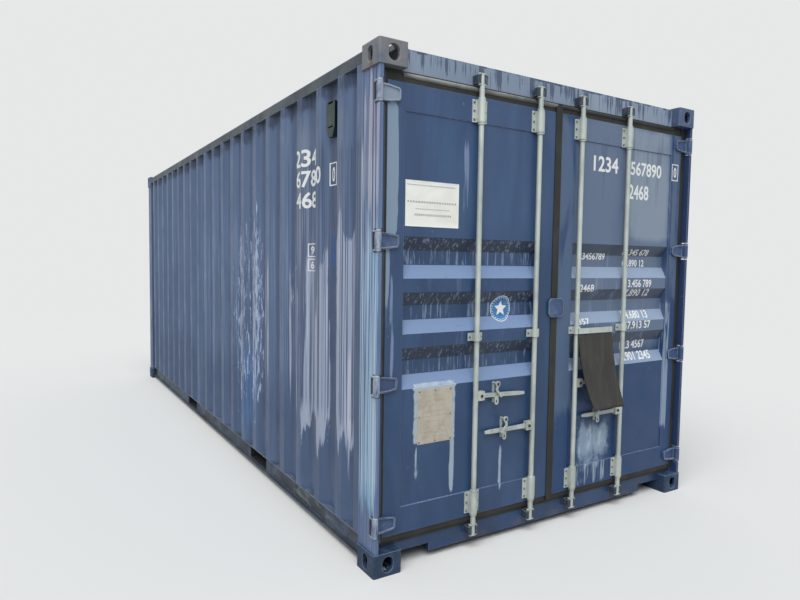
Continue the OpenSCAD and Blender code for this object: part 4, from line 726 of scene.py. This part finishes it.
def digits(bm, text, x0, x1, z0, z1):
    """Plain digits in the x-z plane, fitted to the box x0 to x1 and z0 to z1."""
    curve = bpy.data.curves.new("digits", "FONT")
    curve.body = text
    # Thickens the strokes.
    curve.offset = 0.020
    curve.resolution_u = 3
    holder = bpy.data.objects.new("digits", curve)
    mesh = bpy.data.meshes.new_from_object(holder)
    bpy.data.objects.remove(holder)
    xs = [v.co.x for v in mesh.vertices]
    ys = [v.co.y for v in mesh.vertices]
    across, up = (x1 - x0) / (max(xs) - min(xs)), (z1 - z0) / (max(ys) - min(ys))
    for v in mesh.vertices:
        v.co = (x0 + (v.co.x - min(xs)) * across, 0, z0 + (v.co.y - min(ys)) * up)
    bm.from_mesh(mesh)
    bpy.data.meshes.remove(mesh)


def frame_line(bm, x0, x1, z0, z1, wide):
    """A thin outlined box in the x-z plane."""
    for a, b, c, d in ((x0, x1, z0, z0 + wide), (x0, x1, z1 - wide, z1),
                       (x0, x0 + wide, z0 + wide, z1 - wide), (x1 - wide, x1, z0 + wide, z1 - wide)):
        corners = [bm.verts.new((x, 0, z)) for x, z in ((a, c), (b, c), (b, d), (a, d))]
        bm.faces.new(corners)


panel_folds = [(0.0, 0.0)]
for top in WAVE_TOPS:
    panel_folds += [(top - drop, deep) for drop, deep in WAVE]
panel_folds.append((2.6, 0.0))
wall_folds = [(DOOR_END, 0.0), (DOOR_END + 0.240, 0.0), (DOOR_END + 0.304, 0.036)]
for k in range(RIDGE_COUNT):
    middle = DOOR_END + FIRST_RIDGE + RIDGE_PITCH * k
    wall_folds += [(middle + along, deep) for along, deep in RIDGE]

# Rows of plain numbers on the right leaf: digits, from and to across, from and to in height.
LEAF_ROWS = (
    ("1234", 0.301, 0.524, 2.115, 2.209), ("567890", 0.643, 0.951, 2.119, 2.206),
    ("2468", 0.632, 0.826, 1.968, 2.062), ("123456789", 0.215, 0.468, 1.580, 1.622),
    ("12.345 678", 0.626, 0.879, 1.612, 1.652), ("67.890 12", 0.634, 0.852, 1.540, 1.586),
    ("2468", 0.215, 0.341, 1.383, 1.430), ("3.456 789", 0.656, 0.891, 1.408, 1.458),
    ("7.890 12", 0.640, 0.884, 1.349, 1.396), ("357", 0.215, 0.316, 1.184, 1.221),
    ("24.680 13", 0.628, 0.883, 1.205, 1.255), ("57.913 57", 0.632, 0.898, 1.138, 1.189),
    ("12.3 4567", 0.639, 0.885, 1.005, 1.060), ("8.901 2345", 0.642, 0.932, 0.930, 0.985))
BOX_LINE = 0.006
rows = bmesh.new()
for row in LEAF_ROWS:
    digits(rows, *row)
lay_on(rows, panel_folds, 2, PANEL_Y, (1, -1), FILM_GAP)
keep(rows, "right_door_numbers", white_paint, "right_door")
boxed = bmesh.new()
digits(boxed, "0", 1.075, 1.104, 2.138, 2.204)
frame_line(boxed, 1.056, 1.123, 2.116, 2.226, BOX_LINE)
lay_on(boxed, [(0, 0), (3, 0)], 2, LEAF_Y, (1, -1), FILM_GAP)
keep(boxed, "right_door_boxed_number", white_paint, "right_door")

# The same kind of rows on the left wall, from and to in depth; they read toward the doors, so they
# are drawn with x for -y and then turned.
WALL_ROWS = (
    ("1234", 1.085, 0.785, 2.105, 2.208), ("567890", 1.085, 0.665, 1.984, 2.084),
    ("2468", 1.085, 0.790, 1.860, 1.957), ("0", 0.585, 0.552, 1.985, 2.066),
    ("9", 0.872, 0.822, 1.588, 1.636), ("6", 0.872, 0.822, 1.502, 1.548))
WALL_BOXES = (
    (0.606, 0.531, 1.964, 2.090), (0.892, 0.802, 1.572, 1.652), (0.892, 0.802, 1.488, 1.562))
rows = bmesh.new()
for text, d0, d1, z0, z1 in WALL_ROWS:
    digits(rows, text, -(DOOR_END + d0), -(DOOR_END + d1), z0, z1)
for d0, d1, z0, z1 in WALL_BOXES:
    frame_line(rows, -(DOOR_END + d0), -(DOOR_END + d1), z0, z1, BOX_LINE)
bmesh.ops.rotate(rows, verts=rows.verts, cent=(0, 0, 0), matrix=Matrix.Rotation(-math.pi / 2, 3, "Z"))
lay_on(rows, wall_folds, 1, -WALL_X, (0, -1), FILM_GAP)
keep(rows, "left_wall_numbers", white_paint, "frame")

# Round label with a plain star and a ring of beads, pressed into the second wave of the left leaf.
# Each layer: name, material, radius, and how far it stands off the sheet.
LABEL_AT = (-0.380, 0, 1.300)
LABEL = (("label_ring", sign_film, 0.072, FILM_GAP),
         ("label_disc", label_blue, 0.068, FILM_GAP + 0.0006),
         ("label_beads", sign_film, 0.061, FILM_GAP + 0.0012),
         ("label_star", sign_film, 0.046, FILM_GAP + 0.0012))
BEADS, BEAD_R, STAR_DENT = 26, 0.0034, 0.45
UPRIGHT = Matrix.Rotation(math.pi / 2, 4, "X")

for name, mat, radius, film in LABEL:
    disc = bmesh.new()
    if name == "label_beads":
        for turn in range(BEADS):
            angle = turn * math.tau / BEADS
            at = Matrix.Translation((radius * math.cos(angle), 0, radius * math.sin(angle)))
            bmesh.ops.create_circle(disc, cap_ends=True, radius=BEAD_R, segments=6, matrix=at @ UPRIGHT)
    else:
        sides = 10 if name == "label_star" else 56
        bmesh.ops.create_circle(disc, cap_ends=True, radius=radius, segments=sides, matrix=UPRIGHT)
    if name == "label_star":
        for v in disc.verts:
            angle = math.atan2(v.co.z, v.co.x)
            if round((angle - math.pi / 2) / (math.pi / 5)) % 2:
                v.co *= STAR_DENT
    bmesh.ops.translate(disc, verts=disc.verts, vec=LABEL_AT)
    lay_on(disc, panel_folds, 2, PANEL_Y, (1, -1), film)
    keep(disc, name, mat, "left_door")


# Raised lips and screws on the covers of the ventilators.
lo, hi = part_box("ventilators")
vent_y = (lo[1] + hi[1]) / 2
LIP_HALF, LIP_IN, SCREW_IN = 0.030, 0.003, 0.002
LIP_TALL = ((hi[2] - 0.012, hi[2] - 0.002), (lo[2] + 0.050, lo[2] + 0.058))
SCREW_Z = (hi[2] - 0.030, lo[2] + 0.075)
for s, side in ((-1, "left"), (1, "right")):
    lips, screws = bmesh.new(), bmesh.new()
    front = s * abs(lo[0])
    x0, x1 = sorted((front, front - s * LIP_IN))
    for z0, z1 in LIP_TALL:
        bar(lips, (x0, vent_y - LIP_HALF, z0), (x1, vent_y + LIP_HALF, z1))
    for z in SCREW_Z:
        knob(screws, (front - s * SCREW_IN, vent_y, z), (s, 0, 0), radius=0.005, height=0.002)
    keep(lips, "vent_lips_" + side, vent_plastic, "frame")
    keep(screws, "vent_screws_" + side, bolt_zinc, "frame")


# Rubber flap: its upper edge, clamped under the bar, its fall and its thickness.
FLAP_LEFT, FLAP_WIDE, FLAP_FRONT, FLAP_TOP = 0.165, 0.290, 0.004, 1.1347
FLAP_FALL, FLAP_THICK = 0.455, 0.006
# Its shape at the lower edge: the lean outward and how much more of it the right side has, the curl
# of the lower left outward and its pull to the right, the hollow of the middle and the drift to the
# right; and the share by which the right edge is shorter.
LEAN, TWIST, CURL, PULL, HOLLOW, DRIFT = 0.062, 0.030, 0.020, 0.040, 0.010, 0.030
SHORTER = 0.012


def flap_place(u, v):
    """Place of the flap's point at u across and v down, both 0 to 1: it leans out, is hollow in its
    middle and curls at its lower left."""
    lean = 0.55 * v + 0.45 * v * v
    out = (LEAN + TWIST * u) * lean + CURL * v * v * (1 - u) ** 2 - HOLLOW * v * math.sin(math.pi * u)
    x = FLAP_LEFT + FLAP_WIDE * u + PULL * v * v * (1 - u) + DRIFT * v * lean
    return Vector((x, DOOR_END - FLAP_FRONT - out, FLAP_TOP - FLAP_FALL * v * (1 - SHORTER * u)))


flap = bmesh.new()
bmesh.ops.create_grid(flap, x_segments=16, y_segments=24, size=0.5)
for v in flap.verts:
    v.co = flap_place(v.co.x + 0.5, 0.5 - v.co.y)
bmesh.ops.recalc_face_normals(flap, faces=flap.faces)
bmesh.ops.solidify(flap, geom=list(flap.faces), thickness=FLAP_THICK)
rubber = keep(flap, "curled_flap", flap_rubber, "flap", smooth=True)
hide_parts("rubber_flap")


# Light and floor

# Colour of the background, into which the floor fades between two distances.
PALE = "#e6e8e8"
FADE_FROM, FADE_TO, FLOOR_R = 5.0, 12.0, 60


def seen_directly(tree):
    """1 for rays from the camera or off a glossy surface, 0 for the light that falls on the object."""
    rays = add(tree, "ShaderNodeLightPath").outputs
    return add(tree, "ShaderNodeMath", {0: rays["Is Camera Ray"], 1: rays["Is Glossy Ray"]},
               operation="MAXIMUM").outputs[0]


def studio():
    """A plain overcast sky, one wide soft lamp above the doors and a pale floor that fades away."""
    world = bpy.data.worlds.new("pale_studio")
    bpy.context.scene.world = world
    world.use_nodes = True
    tree = world.node_tree
    tree.nodes.clear()
    plain = add(tree, "ShaderNodeBackground", {"Color": linear("#f4f8ff"), "Strength": 0.43})
    pale = add(tree, "ShaderNodeBackground", {"Color": linear(PALE), "Strength": 1.0})
    mixed = add(tree, "ShaderNodeMixShader",
                {0: seen_directly(tree), 1: plain.outputs[0], 2: pale.outputs[0]})
    add(tree, "ShaderNodeOutputWorld", {"Surface": mixed.outputs[0]})

    sun = bpy.data.lights.new("soft_sky", "SUN")
    sun.energy = 3.1
    sun.angle = 0.9
    lamp = bpy.data.objects.new("soft_sky", sun)
    shining = Vector((0.42, 0.52, -1))
    lamp.rotation_euler = shining.to_track_quat("-Z", "Y").to_euler()
    bpy.context.collection.objects.link(lamp)

    # The floor looks pale but gives the object little light from below, as open ground does.
    mat, tree, skin, place = start("pale_floor")
    seen = seen_directly(tree)
    tone = add(tree, "ShaderNodeMix", {0: seen, 6: linear("#8f8d89"), 7: linear("#d3d4d2")},
               data_type="RGBA").outputs[2]
    tree.links.new(tone, skin.inputs["Base Color"])
    skin.inputs["Roughness"].default_value = 0.85
    speck = add(tree, "ShaderNodeTexNoise", {"Vector": place, "Scale": 60.0, "Detail": 4.0}).outputs[0]
    bump = add(tree, "ShaderNodeBump", {"Height": speck, "Strength": 0.3, "Distance": 0.002})
    tree.links.new(bump.outputs[0], skin.inputs["Normal"])
    reach = add(tree, "ShaderNodeVectorMath", {0: place}, operation="LENGTH").outputs["Value"]
    fade = add(tree, "ShaderNodeMapRange", {"Value": reach, "From Min": FADE_FROM, "From Max": FADE_TO},
               interpolation_type="SMOOTHSTEP").outputs[0]
    glow = add(tree, "ShaderNodeEmission", {"Color": linear(PALE), "Strength": 1.0})
    ends = [n for n in tree.nodes if n.type == "OUTPUT_MATERIAL"][0]
    mixed = add(tree, "ShaderNodeMixShader", {0: fade, 1: skin.outputs[0], 2: glow.outputs[0]})
    tree.links.new(mixed.outputs[0], ends.inputs["Surface"])
    ground = bmesh.new()
    bmesh.ops.create_circle(ground, cap_ends=True, radius=FLOOR_R, segments=64)
    mesh = bpy.data.meshes.new("floor")
    ground.to_mesh(mesh)
    ground.free()
    mesh.materials.append(mat)
    floor = bpy.data.objects.new("floor", mesh)
    bpy.context.collection.objects.link(floor)


studio()
bpy.context.scene.view_settings.view_transform = "Standard"
